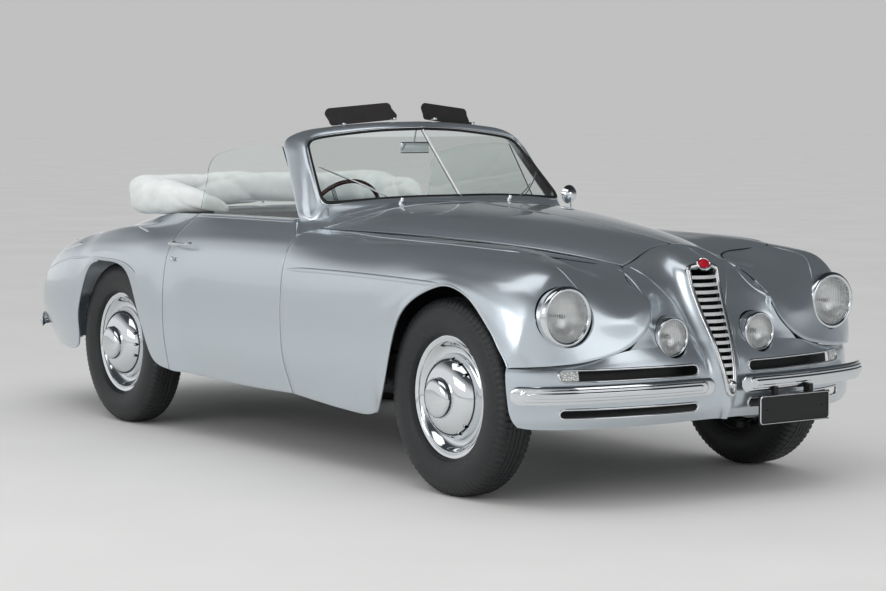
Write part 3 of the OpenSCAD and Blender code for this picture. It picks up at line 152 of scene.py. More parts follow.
APRON = np.array([
    [[2017, 0, 604], [1993, 44, 601], [1965, 80, 598], [1972, 124, 595], [1978, 240, 590],
     [1967, 412, 583], [1934, 560, 550.5], [1885, 690, 536], [1838, 780, 530], [1786, 842, 529]],
    [[2032, 0, 560], [2014, 38, 560], [1990, 74, 558], [1996, 124, 556], [1998, 240, 552],
     [1978, 400, 548], [1944, 560, 534], [1890, 690, 526], [1842, 780, 522], [1788, 845, 520]],
    [[2044, 0, 521], [2030, 32, 521], [2008, 68, 520], [2012, 124, 520], [2010, 240, 519],
     [1988, 400, 517], [1952, 560, 515], [1898, 690, 512], [1848, 780, 508], [1790, 848, 504]],
    [[2052, 0, 476], [2042, 25, 476], [2020, 62, 476], [2018, 124, 476], [2016, 240, 476],
     [1996, 400, 475], [1960, 560, 474], [1906, 690, 472], [1854, 780, 470], [1794, 849, 466]],
    [[2056, 0, 425], [2048, 17, 425], [2024, 54, 425], [2020, 124, 425], [2018, 240, 425],
     [1998, 400, 424], [1962, 560, 424], [1908, 690, 423], [1858, 780, 422], [1800, 848, 420]],
    [[2055, 0, 379], [2047, 15, 379], [2022, 46, 379], [2018, 124, 379], [2016, 240, 379],
     [1996, 400, 378], [1960, 560, 376], [1906, 690, 374], [1858, 780, 372], [1808, 845, 370]],
    [[2050, 0, 343], [2038, 16, 343], [2016, 36, 343], [2010, 124, 343], [2008, 240, 343],
     [1990, 400, 342], [1954, 560, 340], [1900, 690, 338], [1854, 780, 337], [1816, 836, 338]],
    [[2036, 0, 308], [2022, 12, 308], [2000, 28, 308], [1988, 124, 306], [1984, 240, 304],
     [1966, 400, 302], [1930, 560, 301], [1880, 690, 302], [1842, 770, 306], [1818, 815, 314]]],
    float)
SCUTTLE = np.array([
    [[398, 0, 1078], [395, 150, 1075], [385, 300, 1067], [361, 440, 1047], [318, 580, 1011],
     [260, 690.2, 972.8], [238.4, 728, 964.8], [226.4, 765, 950.7]],
    [[320, 0, 1084], [314, 150, 1082], [292, 300, 1076], [256, 440, 1062], [208, 570, 1038],
     [176, 684, 996], [180, 726, 976], [214, 767, 951]],
    [[240, 0, 1086], [232, 150, 1084], [208, 300, 1078], [168, 440, 1066], [116, 570, 1044],
     [98, 684, 1006], [140, 722, 985], [207, 768, 951]]], float)
DECK = np.array([
    [[-1050, 0, 1018], [-1050, 200, 1018], [-1050, 390, 1016], [-1050, 540, 1010],
     [-1050, 620, 1002], [-1050, 665.2, 994]],
    [[-1240, 0, 1016], [-1240, 190, 1015], [-1240, 370, 1011], [-1240, 510, 1000],
     [-1240, 590, 986], [-1240, 629.2, 976]],
    [[-1450, 0, 1008], [-1450, 180, 1006], [-1450, 345, 998], [-1450, 470, 980],
     [-1450, 548, 960], [-1450, 583.2, 950]],
    [[-1650, 0, 996], [-1650, 165, 992], [-1650, 320, 980], [-1650, 435, 956],
     [-1650, 508, 930], [-1650, 540.2, 918]],
    [[-1850, 0, 975], [-1850, 150, 970], [-1850, 295, 956], [-1850, 400, 930],
     [-1850, 468, 902], [-1850, 499.2, 888]],
    [[-2060, 0, 928], [-2060, 130, 923], [-2060, 258, 908], [-2060, 350, 885],
     [-2060, 414, 864], [-2060, 445.2, 855]],
    [[-2270, 0, 850], [-2270, 108, 846], [-2270, 212, 835], [-2270, 290, 818],
     [-2270, 340, 806], [-2270, 365.2, 800]],
    [[-2410, 0, 765], [-2412, 80, 762], [-2414, 158, 756], [-2416, 215, 748],
     [-2418, 252, 742], [-2417, 269, 740.5]],
    [[-2526, 0, 671.5], [-2523, 40, 674.5], [-2517, 80, 681.5], [-2508, 112, 688.5],
     [-2501, 134, 694], [-2496, 146.5, 697.5]]], float)


def along(points, t):
    """Points of a Catmull-Rom curve at t, which counts the points."""
    p = np.concatenate([[2 * points[0] - points[1]], points, [2 * points[-1] - points[-2]]])
    t = np.asarray(t, float)
    i = np.clip(np.floor(t).astype(int), 0, len(points) - 2)
    f = (t - i).reshape(t.shape + (1,) * (points.ndim - 1))
    a, b, c, d = p[i], p[i + 1], p[i + 2], p[i + 3]
    return 0.5 * (2 * b + (c - a) * f + (2 * a - 5 * b + 4 * c - d) * f ** 2
                  + (3 * b - a - 3 * c + d) * f ** 3)


def patch(net, us, vs):
    return along(along(net, us).swapaxes(0, 1), vs).swapaxes(0, 1)


def steps(a, b, n):
    return np.linspace(a, b, n + 1)


def full(half):
    """Rows of the right half joined to their mirror image."""
    return np.concatenate([(half * [1, -1, 1])[:, :0:-1], half], axis=1)


# Camera: where it stood, from the vanishing lines and the wheels of the photograph
EYE = Vector((8.779, -5.7742, 1.4276))
YAW, PITCH, ROLL = 145.287, -4.3485, -0.1073
LENS = 94.105
# The same lens in pixels of the photograph, and the photograph's middle
PIXEL, MIDDLE_X, MIDDLE_Y = 2316.03, 443, 295.5


def camera_axes():
    yaw, pitch, roll = (math.radians(a) for a in (YAW, PITCH, ROLL))
    ahead = Vector((math.cos(pitch) * math.cos(yaw), math.cos(pitch) * math.sin(yaw), math.sin(pitch)))
    right = ahead.cross(Vector((0, 0, 1))).normalized()
    up = right.cross(ahead)
    return ahead, right * math.cos(roll) + up * math.sin(roll), up * math.cos(roll) - right * math.sin(roll)


def make_camera():
    ahead, right, up = camera_axes()
    data = bpy.data.cameras.new("camera")
    data.sensor_width, data.lens, data.clip_end = 36, LENS, 200
    cam = bpy.data.objects.new("camera", data)
    bpy.context.collection.objects.link(cam)
    cam.matrix_world = Matrix(((right.x, up.x, -ahead.x, EYE.x), (right.y, up.y, -ahead.y, EYE.y),
                               (right.z, up.z, -ahead.z, EYE.z), (0, 0, 0, 1)))
    bpy.context.scene.camera = cam


# Materials
def colour(code):
    """Linear colour of an sRGB hex code."""
    c = [int(code[i:i + 2], 16) / 255 for i in (1, 3, 5)]
    return [x / 12.92 if x <= 0.04045 else ((x + 0.055) / 1.055) ** 2.4 for x in c] + [1]


def add(tree, kind, inputs=None, **settings):
    """One node with its settings; inputs are values or the sockets linked to them."""
    made = tree.nodes.new("ShaderNode" + kind)
    for key, value in settings.items():
        setattr(made, key, value)
    for key, value in (inputs or {}).items():
        if isinstance(value, bpy.types.NodeSocket):
            tree.links.new(value, made.inputs[key])
        else:
            made.inputs[key].default_value = value
    return made


def finish_of(name, **sockets):
    """New material with its Principled shader set, and its tree, shader and object coordinates."""
    made = bpy.data.materials.new(name)
    made.use_nodes = True
    tree = made.node_tree
    shader = tree.nodes["Principled BSDF"]
    for key, value in sockets.items():
        shader.inputs[key.replace("_", " ")].default_value = value
    return made, tree, shader, add(tree, "TexCoord").outputs["Object"]


def speckle(tree, where, scale, low, high, detail=3.0):
    """Colour between two hex codes on noise of a scale given in spots a metre."""
    noise = add(tree, "TexNoise", {"Vector": where, "Scale": scale, "Detail": detail})
    ramp = add(tree, "ValToRGB", {"Fac": noise.outputs["Fac"]})
    dark, light = ramp.color_ramp.elements
    dark.position, dark.color = 0.3, colour(low)
    light.position, light.color = 0.7, colour(high)
    return noise.outputs["Fac"], ramp.outputs["Color"]


def toned(name, scale, low, high, detail=3.0, relief=0.0, **sockets):
    """Material whose colour varies between two codes, with the same noise as relief in metres."""
    made, tree, shader, where = finish_of(name, **sockets)
    noise, tone = speckle(tree, where, scale, low, high, detail)
    tree.links.new(tone, shader.inputs["Base Color"])
    if relief:
        bump(tree, shader, noise, relief)
    return made


def bump(tree, shader, height, depth, strength=1.0):
    made = add(tree, "Bump", {"Height": height, "Distance": depth, "Strength": strength})
    tree.links.new(made.outputs["Normal"], shader.inputs["Normal"])


def metallic_paint():
    # Cellulose silver-grey with aluminium flake under clear lacquer: bright where it faces the light,
    # with a soft sparkle and a sharp reflection on top. Flake is drawn at 1.1 mm so that it shows
    return toned("metallic_paint", 900, "#C0C9D0", "#D0D9E0", Metallic=0.85, Roughness=0.28,
                 Coat_Weight=1.0, Coat_Roughness=0.03, Coat_IOR=1.5)


def chrome():
    # Decorative chromium on brass: mirror bright, a little blue, with faint polishing haze
    made, tree, shader, where = finish_of("chrome", Metallic=1.0, Roughness=0.05)
    haze = add(tree, "TexNoise", {"Vector": where, "Scale": 60.0, "Detail": 4.0})
    level = add(tree, "MapRange", {"Value": haze.outputs["Fac"], "To Min": 0.03, "To Max": 0.09})
    tree.links.new(level.outputs["Result"], shader.inputs["Roughness"])
    shader.inputs["Base Color"].default_value = colour("#E3E6E9")
    return made


def polished_aluminium():
    # Polished aluminium castings and strips: softer than chrome, with clouds of about 7 mm from the buff
    return toned("polished_aluminium", 140, "#D2D4D6", "#E6E7E8", Metallic=1.0, Roughness=0.2)


def silvered_bowl():
    # Silvered reflector bowl, bright and slightly clouded in patches of 20 mm
    return toned("silvered_bowl", 50, "#F0F1F2", "#FAFAFA", Metallic=0.55, Roughness=0.3)


def window_glass():
    # Flat plate glass, nearly colourless with a green cast
    made, tree, shader, where = finish_of("window_glass", Roughness=0.0, IOR=1.45,
                                          Transmission_Weight=1.0)
    ripple = add(tree, "TexNoise", {"Vector": where, "Scale": 3.0, "Detail": 1.0})
    bump(tree, shader, ripple.outputs["Fac"], 0.0002, 0.3)
    shader.inputs["Base Color"].default_value = colour("#F3F8F6")
    return made


def lamp_glass():
    # Pressed lens glass with upright ribs on its inner face
    made, tree, shader, where = finish_of("lamp_glass", Roughness=0.04, IOR=1.5,
                                          Transmission_Weight=1.0)
    rib = add(tree, "TexWave", {"Vector": where, "Scale": 34.0, "Distortion": 1.5}, bands_direction="Y")
    bump(tree, shader, rib.outputs["Fac"], 0.0009, 0.6)
    shader.inputs["Base Color"].default_value = colour("#FBFCFC")
    return made


def tyre_rubber():
    # Black vulcanised rubber with a mould's dull skin and a light film of dust, grained at 11 mm
    return toned("tyre_rubber", 90, "#17181A", "#232527", relief=0.0004, Roughness=0.5)


def moulded_rubber():
    # Extruded black seals, with a dull bloom of about 3 mm
    # The same dark rubber also stands as painted shade on the bonnet hinge and along the bonnet's gap
    return toned("moulded_rubber", 300, "#101112", "#191A1B", Roughness=0.6)


def leather(name, low, high):
    # Upholstery hide: a closed grain of 2.4 mm with a low sheen, its tone uneven over 40 mm
    made, tree, shader, where = finish_of(name, Roughness=0.45)
    _, tone = speckle(tree, where, 25, low, high)
    tree.links.new(tone, shader.inputs["Base Color"])
    grain = add(tree, "TexVoronoi", {"Vector": where, "Scale": 420.0})
    bump(tree, shader, grain.outputs["Distance"], 0.0006, 0.5)
    return made


def hood_cloth():
    # Off-white double-texture cotton duck, threads drawn at 1.6 mm so that they show
    made, tree, shader, where = finish_of("hood_cloth", Roughness=0.85, Sheen_Weight=0.25)
    _, tone = speckle(tree, where, 14, "#DCE0DF", "#ECEFEE")
    tree.links.new(tone, shader.inputs["Base Color"])
    warp = add(tree, "TexWave", {"Vector": where, "Scale": 100.0}, bands_direction="X")
    weft = add(tree, "TexWave", {"Vector": where, "Scale": 100.0}, bands_direction="Z")
    both = add(tree, "Math", {0: warp.outputs["Fac"], 1: weft.outputs["Fac"]}, operation="ADD")
    bump(tree, shader, both.outputs["Value"], 0.0004, 0.5)
    return made


def carpet():
    # Short wool pile, dark grey, with tufts of 1.7 mm
    return toned("wool_carpet", 600, "#1F1F20", "#38383A", 6, 0.002, Roughness=0.95)


def black_enamel(name="black_enamel", low="#141516", high="#1D1E20"):
    # Brushed chassis enamel, satin black with a road film in patches of 33 mm
    # The same black also covers the sheet behind the apron, where it is painted shade
    return toned(name, 30, low, high, Roughness=0.45)


def cast_iron():
    # Sand-cast iron and steel, dark and rough, with a grain of 8 mm
    return toned("cast_iron", 120, "#3A3B3D", "#55565A", relief=0.001, Metallic=0.7, Roughness=0.6)


def walnut():
    # Varnished wood of the steering wheel rim, figured at 17 mm under a glossy coat
    return toned("varnished_walnut", 60, "#3A1710", "#63291A", 8, Roughness=0.2, Coat_Weight=0.6)


def coloured_glass(name, code, joints):
    # Pressed lens of coloured glass, with facets of 9 mm parted by darker joints
    made, tree, shader, where = finish_of(name, Roughness=0.08, Coat_Weight=1.0)
    cells = add(tree, "TexVoronoi", {"Vector": where, "Scale": 110.0}, feature="DISTANCE_TO_EDGE")
    bump(tree, shader, cells.outputs["Distance"], 0.002, 0.5)
    ramp = add(tree, "ValToRGB", {"Fac": cells.outputs["Distance"]})
    low, high = ramp.color_ramp.elements
    low.color, high.color, high.position = colour(joints), colour(code), 0.25
    tree.links.new(ramp.outputs["Color"], shader.inputs["Base Color"])
    return made


PAINT = metallic_paint()
CHROME = chrome()
ALUMINIUM = polished_aluminium()
SILVERED = silvered_bowl()
GLASS = window_glass()
LENS_GLASS = lamp_glass()
TYRE = tyre_rubber()
SEAL_AND_SHADE = moulded_rubber()
HIDE = leather("seat_hide", "#4A2420", "#5A2E28")
DARK_HIDE = leather("visor_hide", "#161112", "#1F1819")
CLOTH = hood_cloth()
CARPET = carpet()
BLACK = black_enamel()
PLATE_BLACK = black_enamel("plate_enamel", "#0C0D0E", "#121315")
IRON = cast_iron()
WOOD = walnut()
RED_GLASS = coloured_glass("tail_lens", "#8E0F0C", "#5A0806")
RED_ENAMEL = coloured_glass("badge_enamel", "#B0182A", "#A01526")
INDICATOR = coloured_glass("indicator_lens", "#E8E9E6", "#7C8082")


# Making and placing pieces
def pick(*pieces):
    """Selects these pieces and nothing else, and makes the first one active."""
    bpy.ops.object.select_all(action="DESELECT")
    for piece in pieces:
        piece.select_set(True)
    if pieces:
        bpy.context.view_layer.objects.active = pieces[0]


def give(piece, name, finish, body, sharp=40, inner=None):
    """Names a finished piece, gives it its material and body, and smooths it."""
    piece.name = name
    piece.data.materials.clear()
    piece.data.materials.append(finish)
    if inner:
        piece.data.materials.append(inner)
    pick(piece)
    bpy.ops.object.transform_apply(location=True, rotation=True, scale=True)
    bpy.ops.object.shade_smooth_by_angle(angle=math.radians(sharp))
    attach(piece, body)
    return piece


def modify(piece, kind, **settings):
    bpy.context.view_layer.objects.active = piece
    made = piece.modifiers.new(kind, kind)
    for key, value in settings.items():
        setattr(made, key, value)
    bpy.ops.object.modifier_apply(modifier=made.name)


def sheet_of(points):
    """Grid primitive laid on rows of points in metres."""
    rows, cols = points.shape[:2]
    pick()
    bpy.ops.mesh.primitive_grid_add(x_subdivisions=cols - 1, y_subdivisions=rows - 1, size=1)
    piece = bpy.context.object
    piece.data.vertices.foreach_set("co", points.reshape(-1))
    piece.data.update()
    return piece


def edit(piece, *work):
    """Runs edit-mode steps on the whole of a piece."""
    pick(piece)
    bpy.ops.object.mode_set(mode="EDIT")
    bpy.ops.mesh.select_all(action="SELECT")
    for step in work:
        step()
    bpy.ops.object.mode_set(mode="OBJECT")


def merge(piece, distance=0.00005):
    edit(piece, lambda: bpy.ops.mesh.remove_doubles(threshold=distance))


def outward(piece):
    edit(piece, lambda: bpy.ops.mesh.normals_make_consistent(inside=False))


def skin(grid, side, thick=9, left=False, folded=True):
    """Panel whose outer face is the grid, with folded edges where it meets a gap."""
    points = metres(grid, left)
    if (side > 0) != left:
        points = points[::-1]
    piece = sheet_of(points)
    merge(piece)
    modify(piece, "SOLIDIFY", thickness=thick / 1000, offset=-1)
    if folded:
        modify(piece, "BEVEL", width=0.0012, segments=2, limit_method="ANGLE", angle_limit=math.radians(60))
    return piece


def capped(points):
    """Body laid on rows of points in metres, merged, with its open ends filled."""
    piece = sheet_of(points)
    merge(piece)
    edit(piece, lambda: bpy.ops.mesh.fill_holes(sides=0))
    outward(piece)
    return piece


def closed_tube(points, left=False):
    """Rings of millimetre points joined into a closed body with a face on each end."""
    return capped(metres(points, left))


def prism(outline, low, high):
    """Closed outline of [y, z] in millimetres drawn out along x from low to high."""
    ring = np.concatenate([outline, outline[:1]])
    return closed_tube(np.stack([np.column_stack([np.full(len(ring), x), ring]) for x in (low, high)]))


def stadium(y, z, half_w, half_h, n=11):
    """Outline of [y, z] with round ends."""
    a = np.linspace(-np.pi / 2, np.pi / 2, n)
    end = np.stack([y + half_w - half_h + half_h * np.cos(a), z + half_h * np.sin(a)], -1)
    return np.concatenate([end, end[::-1] * [-1, 1] + [2 * y, 0]])


def cut(piece, *tools, folded=False):
    """Takes tools out of a piece; folded is for a skin whose inner face crosses itself."""
    for tool in tools:
        modify(piece, "BOOLEAN", object=tool, operation="DIFFERENCE", solver="EXACT", use_self=folded)
        bpy.data.objects.remove(tool)


def copy_of(piece):
    pick(piece)
    bpy.ops.object.duplicate()
    return bpy.context.object


def mirrored(piece, left=True):
    """Turns a piece drawn on the right into its mirror image where left is true."""
    if left:
        piece.data.transform(Matrix.Scale(-1, 4, (0, 1, 0)))
        piece.data.flip_normals()
    return piece


def join(first, *others):
    pick(first, *others)
    bpy.ops.object.join()
    return first


def both(piece):
    """Adds the mirror image on the left side to a piece drawn on the right."""
    return join(piece, mirrored(copy_of(piece)))


def cylinder(radius, depth, at, axis="X", vertices=96, top=None):
    """Cylinder in millimetres about a point, along X or Y; top is the other end's radius."""
    turn = {"X": (0, math.pi / 2, 0), "Y": (-math.pi / 2, 0, 0)}[axis]
    pick()
    bpy.ops.mesh.primitive_cone_add(vertices=vertices, radius1=radius / 1000,
                                    radius2=(radius if top is None else top) / 1000, depth=depth / 1000,
                                    location=metres(at), rotation=turn)
    bpy.ops.object.transform_apply(location=True, rotation=True, scale=True)
    return bpy.context.object


def block(low, high, soft=0.0, segments=3):
    """Box between two corners in millimetres with rounded edges."""
    low, high = metres(low), metres(high)
    pick()
    bpy.ops.mesh.primitive_cube_add(size=1, location=(low + high) / 2)
    piece = bpy.context.object
    piece.scale = np.abs(high - low)
    bpy.ops.object.transform_apply(location=True, rotation=True, scale=True)
    if soft:
        modify(piece, "BEVEL", width=soft / 1000, segments=segments, limit_method="NONE")
    return piece


def lathe(profile, at, axis, turns=96):
    """Closed profile of [radius, distance out] in millimetres turned about X or Y."""
    angles = np.linspace(0, 2 * np.pi, turns + 1)
    r, h = np.array(profile, float).T
    ring = np.stack([np.outer(np.cos(angles), r), np.outer(np.sin(angles), r),
                     np.tile(h, (turns + 1, 1))], -1)
    order = [2, 0, 1] if axis == "X" else [0, 2, 1]
    piece = sheet_of(metres(ring[..., order] + np.array(at, float)))
    merge(piece)
    outward(piece)
    return piece


def sweep(path, section, up=(0, 0, 1), closed=False, scale=None):
    """Section of [across, up] in millimetres carried along a path of millimetre points."""
    path = np.array(path, float)
    if closed:
        ahead = np.roll(path, -1, 0) - np.roll(path, 1, 0)
    else:
        ahead = np.gradient(path, axis=0)
    ahead /= np.linalg.norm(ahead, axis=1)[:, None]
    ups = np.broadcast_to(np.array(up, float), path.shape)
    across = np.cross(ahead, ups)
    across /= np.linalg.norm(across, axis=1)[:, None]
    high = np.cross(across, ahead)
    section = np.array(section, float)
    section = np.concatenate([section, section[:1]])
    size = np.ones((len(path), 2)) if scale is None else np.array(scale, float)
    points = (path[:, None] + across[:, None] * (section[None, :, :1] * size[:, None, :1])
              + high[:, None] * (section[None, :, 1:] * size[:, None, 1:]))
    if closed:
        points = np.concatenate([points, points[:1]])
    return capped(metres(points))


def oval(a, b, n=12):
    t = np.linspace(0, 2 * np.pi, n, endpoint=False)
    return np.stack([a * np.cos(t), b * np.sin(t)], -1)


def smooth_line(points, n):
    points = np.array(points, float)
    return along(points, steps(0, len(points) - 1, n))


def run_of(path):
    """Distance along a path at each of its points."""
    return np.concatenate([[0], np.cumsum(np.linalg.norm(np.diff(path, axis=0), axis=1))])


def heading(path):
    """Unit direction of an open path at each of its points."""
    ahead = np.gradient(path, axis=0)
    return ahead / np.linalg.norm(ahead, axis=1)[:, None]


def evenly(points, n):
    """n + 1 points at equal distances along straight lines between the given ones."""
    points = np.array(points, float)
    run = run_of(points)
    at = np.linspace(0, run[-1], n + 1)
    return np.stack([np.interp(at, run, column) for column in points.T], -1)


def drawn(where, normal):
    """A hit's place in drawn millimetres and its normal with y out to the right."""
    return [where.x * 1000 - MID, -where.y * 1000, where.z * 1000], [normal.x, -normal.y, normal.z]


def landed(piece, points, ahead):
    """Where rays from points in millimetres meet a piece, with its normals, in millimetres."""
    direction = Vector((ahead[0], -ahead[1], ahead[2]))
    hits = [piece.ray_cast(Vector(metres(p)), direction) for p in points]
    found = [drawn(where, normal) for ok, where, normal, _ in hits if ok]
    return np.array([place for place, _ in found]), np.array([normal for _, normal in found])


def seen(pieces, pixels):
    """Where the camera's rays through pixels of the photograph first meet the pieces, in millimetres."""
    ahead, right, up = camera_axes()
    found = []
    for x, y in pixels:
        way = (ahead + right * ((x - MIDDLE_X) / PIXEL) - up * ((y - MIDDLE_Y) / PIXEL)).normalized()
        hits = [hit for hit in (piece.ray_cast(EYE, way) for piece in pieces) if hit[0]]
        if hits:
            _, where, normal, _ = min(hits, key=lambda hit: (hit[1] - EYE).length)
            found.append(drawn(where, normal))
    return np.array([place for place, _ in found]), np.array([normal for _, normal in found])


def strip(points, normals, width, proud, closed=False, taper=0.04, sink=1.5):
    """Half-round moulding on a surface along points with its normals."""
    t = np.linspace(0, np.pi, 7)
    section = np.concatenate([np.stack([np.cos(t) * width / 2, np.sin(t) * proud], -1),
                              [[-width / 2, -sink], [width / 2, -sink]]])
    scale = np.ones((len(points), 2))
    if taper and not closed:
        near = np.minimum(np.arange(len(points)), np.arange(len(points))[::-1]) / len(points)
        scale *= np.clip(near / taper, 0.03, 1)[:, None] ** 0.6
    return sweep(points, section, up=normals, closed=closed, scale=scale)


# Body panels: the bores for the lamps and the slots reach this far through the skins
BORE = 260
SLOT_Y, UPPER_SLOT, LOWER_SLOT, SLOT_HALF = 407, (499, 21), (360.5, 17.5), 283


def share(cell):
    """The gap between panels as a share of a net's cell of that many millimetres."""
    return GAP / cell


def fog_bores():
    return [cylinder(76.5, BORE, (1962, y, 622)) for y in (215, -215)]


def front_wings():
    wing = skin(patch(WING, steps(0, 11, 110), steps(0, 7, 70)), -1)
    cut(wing, cylinder(99, BORE, HEADLAMP, top=124))
    both(wing)
    give(wing, "front_wing_panels", PAINT, BODY)
    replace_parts(wing, "front_wings")
    return wing


def rear_wings():
    half = patch(SIDE, steps(4, 17, 130), steps(0, 7, 70))
    tail = skin(np.concatenate([half, (half * [1, -1, 1])[-2::-1]]), 1)
    give(tail, "rear_wing_panels", PAINT, BODY)
    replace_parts(tail, "rear_wings")
    return tail


def nose_skin():
    nose = skin(full(patch(NOSE, steps(0, 6, 60), steps(0, 5, 50))), -1, folded=False)
    cut(nose, *fog_bores(), grille_hole())
    give(nose, "nose_skin", PAINT, BODY)
    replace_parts(nose, "nose_panel")
    return nose


def slot_frame(apron, outline):
    """Bright frame laid on the apron round a slot."""
    fine = evenly(np.concatenate([outline, outline[:1]]), 128)[:-1]
    ahead_of_car = np.column_stack([np.full(len(fine), 2200), fine])
    return strip(*landed(apron, ahead_of_car, (-1, 0, 0)), 9, 4.5, True)


def front_apron():
    apron = skin(full(patch(APRON, steps(0, 7, 56), steps(0, 9, 90))), -1, folded=False)
    slots = [stadium(y, z, SLOT_HALF, h) for y in (SLOT_Y, -SLOT_Y) for z, h in (UPPER_SLOT, LOWER_SLOT)]
    give(join(*[slot_frame(apron, slot) for slot in slots]), "slot_frames", CHROME, BODY)
    # Black sheet set 75 mm behind the apron: painted shade that shows dark through the slots and round the
    # grille bars
    shade_sheet = sheet_of(metres(full(patch(APRON, steps(1.2, 6.9, 20), steps(1, 7.2, 44)) - [75, 0, 0])))
    modify(shade_sheet, "SOLIDIFY", thickness=0.002, offset=0)
    give(shade_sheet, "painted_shade_sheet", BLACK, BODY)
    indicator_lenses(apron)
    for slot in slots:
        cut(apron, prism(slot, 1700, 2150))
    cut(apron, *fog_bores())
    cut(apron, grille_hole(), folded=True)
    give(apron, "front_apron_skin", PAINT, BODY)
    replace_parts(apron, "front_apron")
    return apron


def scuttle():
    cowl = skin(full(patch(SCUTTLE, steps(0, 2, 20), steps(0, 7, 70))), 1)
    give(cowl, "scuttle_skin", PAINT, BODY)
    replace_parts(cowl, "cowl")
    return cowl


def deck_and_lid():
    gap = share(200)
    lid = full(patch(DECK, steps(2.5 + gap, 7 - gap, 72), steps(0, 3 - share(110), 36)))
    boot = skin(lid, 1)
    give(boot, "boot_lid_skin", PAINT, "boot_lid")
    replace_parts(boot, "boot_lid")
    deck = skin(full(patch(DECK, steps(0, 8, 96), steps(0, 5, 60))), 1)
    lid_tool = sheet_of(metres(full(patch(DECK, steps(2.5, 7, 60), steps(0, 3, 30))))[::-1])
    merge(lid_tool)
    modify(lid_tool, "SOLIDIFY", thickness=0.06, offset=0)
    cut(deck, lid_tool)
    give(deck, "rear_deck_skin", PAINT, BODY)
    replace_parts(deck, "rear_deck")


def bonnet_half(side):
    bonnet = skin(patch(BONNET, steps(0.012, 5.98, 80), steps(0, 5 - share(60), 50)), -1, left=side == "left")
    give(bonnet, f"bonnet_{side}_skin", PAINT, f"bonnet_{side}")
    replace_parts(bonnet, f"bonnet_{side}")
    return bonnet


def door(side):
    """Door from its outer skin to its inner trim, which is hide."""
    outer = patch(SIDE, steps(share(190), 4 - share(140), 70), steps(0, 7, 70))
    inner = outer[:, ::-1] + [10, -78, 0]
    slab = closed_tube(np.concatenate([outer, inner, outer[:, :1]], 1), side == "left")
    modify(slab, "BEVEL", width=0.003, segments=2, limit_method="ANGLE", angle_limit=math.radians(50))
    give(slab, f"door_{side}_skin", PAINT, f"door_{side}", inner=HIDE)
    inwards = -1 if side == "left" else 1
    for face in slab.data.polygons:
        face.material_index = int(face.normal.y * inwards > 0.35 and face.normal.z < 0.3)
    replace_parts(slab, f"door_{side}")


def indicator_lenses(apron):
    """Clear lenses that fill the outer ends of the upper slots."""
    height, half_h = UPPER_SLOT
    centre = SLOT_Y + SLOT_HALF - half_h
    rows = []
    for z in np.linspace(-20.6, 20.6, 13):
        tip = centre + math.sqrt(half_h ** 2 - z ** 2)
        found, _ = landed(apron, [(2200, y, height + z) for y in np.linspace(622, tip, 12)], (-1, 0, 0))
        rows.append(found - [3, 0, 0])
    lens = sheet_of(metres(np.array(rows)))
    modify(lens, "SOLIDIFY", thickness=0.005, offset=0)
    give(both(lens), "indicator_glasses", INDICATOR, BODY)


def grille_edge():
    return smooth_line([[1885, 70, 862], [1902, 68, 800], [1940, 60, 714], [1980, 50, 638],
                        [2004, 43, 590], [2030, 32, 520], [2042, 25, 476], [2050, 16, 425]], 42)


def grille_hole():
    edge = grille_edge()
    outline = np.concatenate([edge, (edge * [1, -1, 1])[::-1]])[:, 1:]
    return prism(outline, 1800, 2120)


make_camera()
panels = {"wing": front_wings(), "tail": rear_wings(), "nose": nose_skin(), "apron": front_apron(),
          "cowl": scuttle()}
deck_and_lid()
panels["bonnet"] = bonnet_half("right")
door("right")
bonnet_half("left")
door("left")


# Wheels and tyres
TYRE_R = 378.0
WHEELS = {"front_right": (AXLE, 731, False), "front_left": (AXLE, 731, True),
          "rear_right": (-AXLE, 740, False), "rear_left": (-AXLE, 740, True)}
HUB_CAP = [[0.5, 138], [16, 137.8], [32, 136.9], [46, 135], [58, 132], [67, 128], [73, 122.5], [76.5, 115],
           [78, 106], [79, 102], [83, 101.5]]
RIM = [[162.5, 26], [164, 21], [168, 18.5], [176, 18], [184, 20], [192, 25], [199, 32], [206, 41],
       [211, 47], [216, 50.5], [222, 53.5], [227, 55.5], [231, 57], [234, 56.5], [235.6, 54], [236, 51],
       [212, 51], [212, -51], [236, -51], [236, -54], [231, -57], [206, -52], [198, -30], [190, -14],
       [150, -14], [150, -58], [142, -58], [142, -20], [46, -20], [46, -46], [22.2, -46], [22.2, 44],
       [0.5, 44]]
# Half of the tyre's section from the bead over the wall to the tread, each groove as a dip between two points
TYRE_HALF = [[212.3, 50.7], [236.3, 50.7], [236.3, 58], [240, 68], [246, 75], [252, 76], [256, 79], [262, 80],
             [276, 85], [290, 87.3], [305, 88], [320, 87], [334, 84], [344, 80.5], [350, 78.5], [356, 76],
             [362, 72.5], [368, 68], [373, 62], [376, 55], [377.5, 47], [378, 38], [378, 30], [378, 28.5],
             [378, 27], [378, 18], [378, 10.5], [378, 9], [378, 7.5]]
OUTER_GROOVE, INNER_GROOVE = 28.5, 9


def wheel(place):
    """Wheel with its domed cover and three groups of slots."""
    x, y, left = WHEELS[place]
    dome = [[78 + 84 * math.sin(a), 24 + 77.5 * math.cos(a)] for a in np.radians(np.arange(8, 86, 4))]
    piece = lathe(HUB_CAP + dome + RIM, (x, y, TYRE_R), "Y", 120)
    resting_turn = 59 if "front" in place else 0
    for a in (-20, 0, 20):
        for third in (0, 120, 240):
            t = math.radians(a + third + resting_turn)
            at = (x + 150 * math.cos(t), y + 60, TYRE_R + 150 * math.sin(t))
            cut(piece, cylinder(7, 70, at, "Y", 20))
    give(piece, "wheel_" + place + "_bright", CHROME, "wheel_" + place, 30)
    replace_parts(piece, "wheel_" + place)
    return mirrored(piece, left)


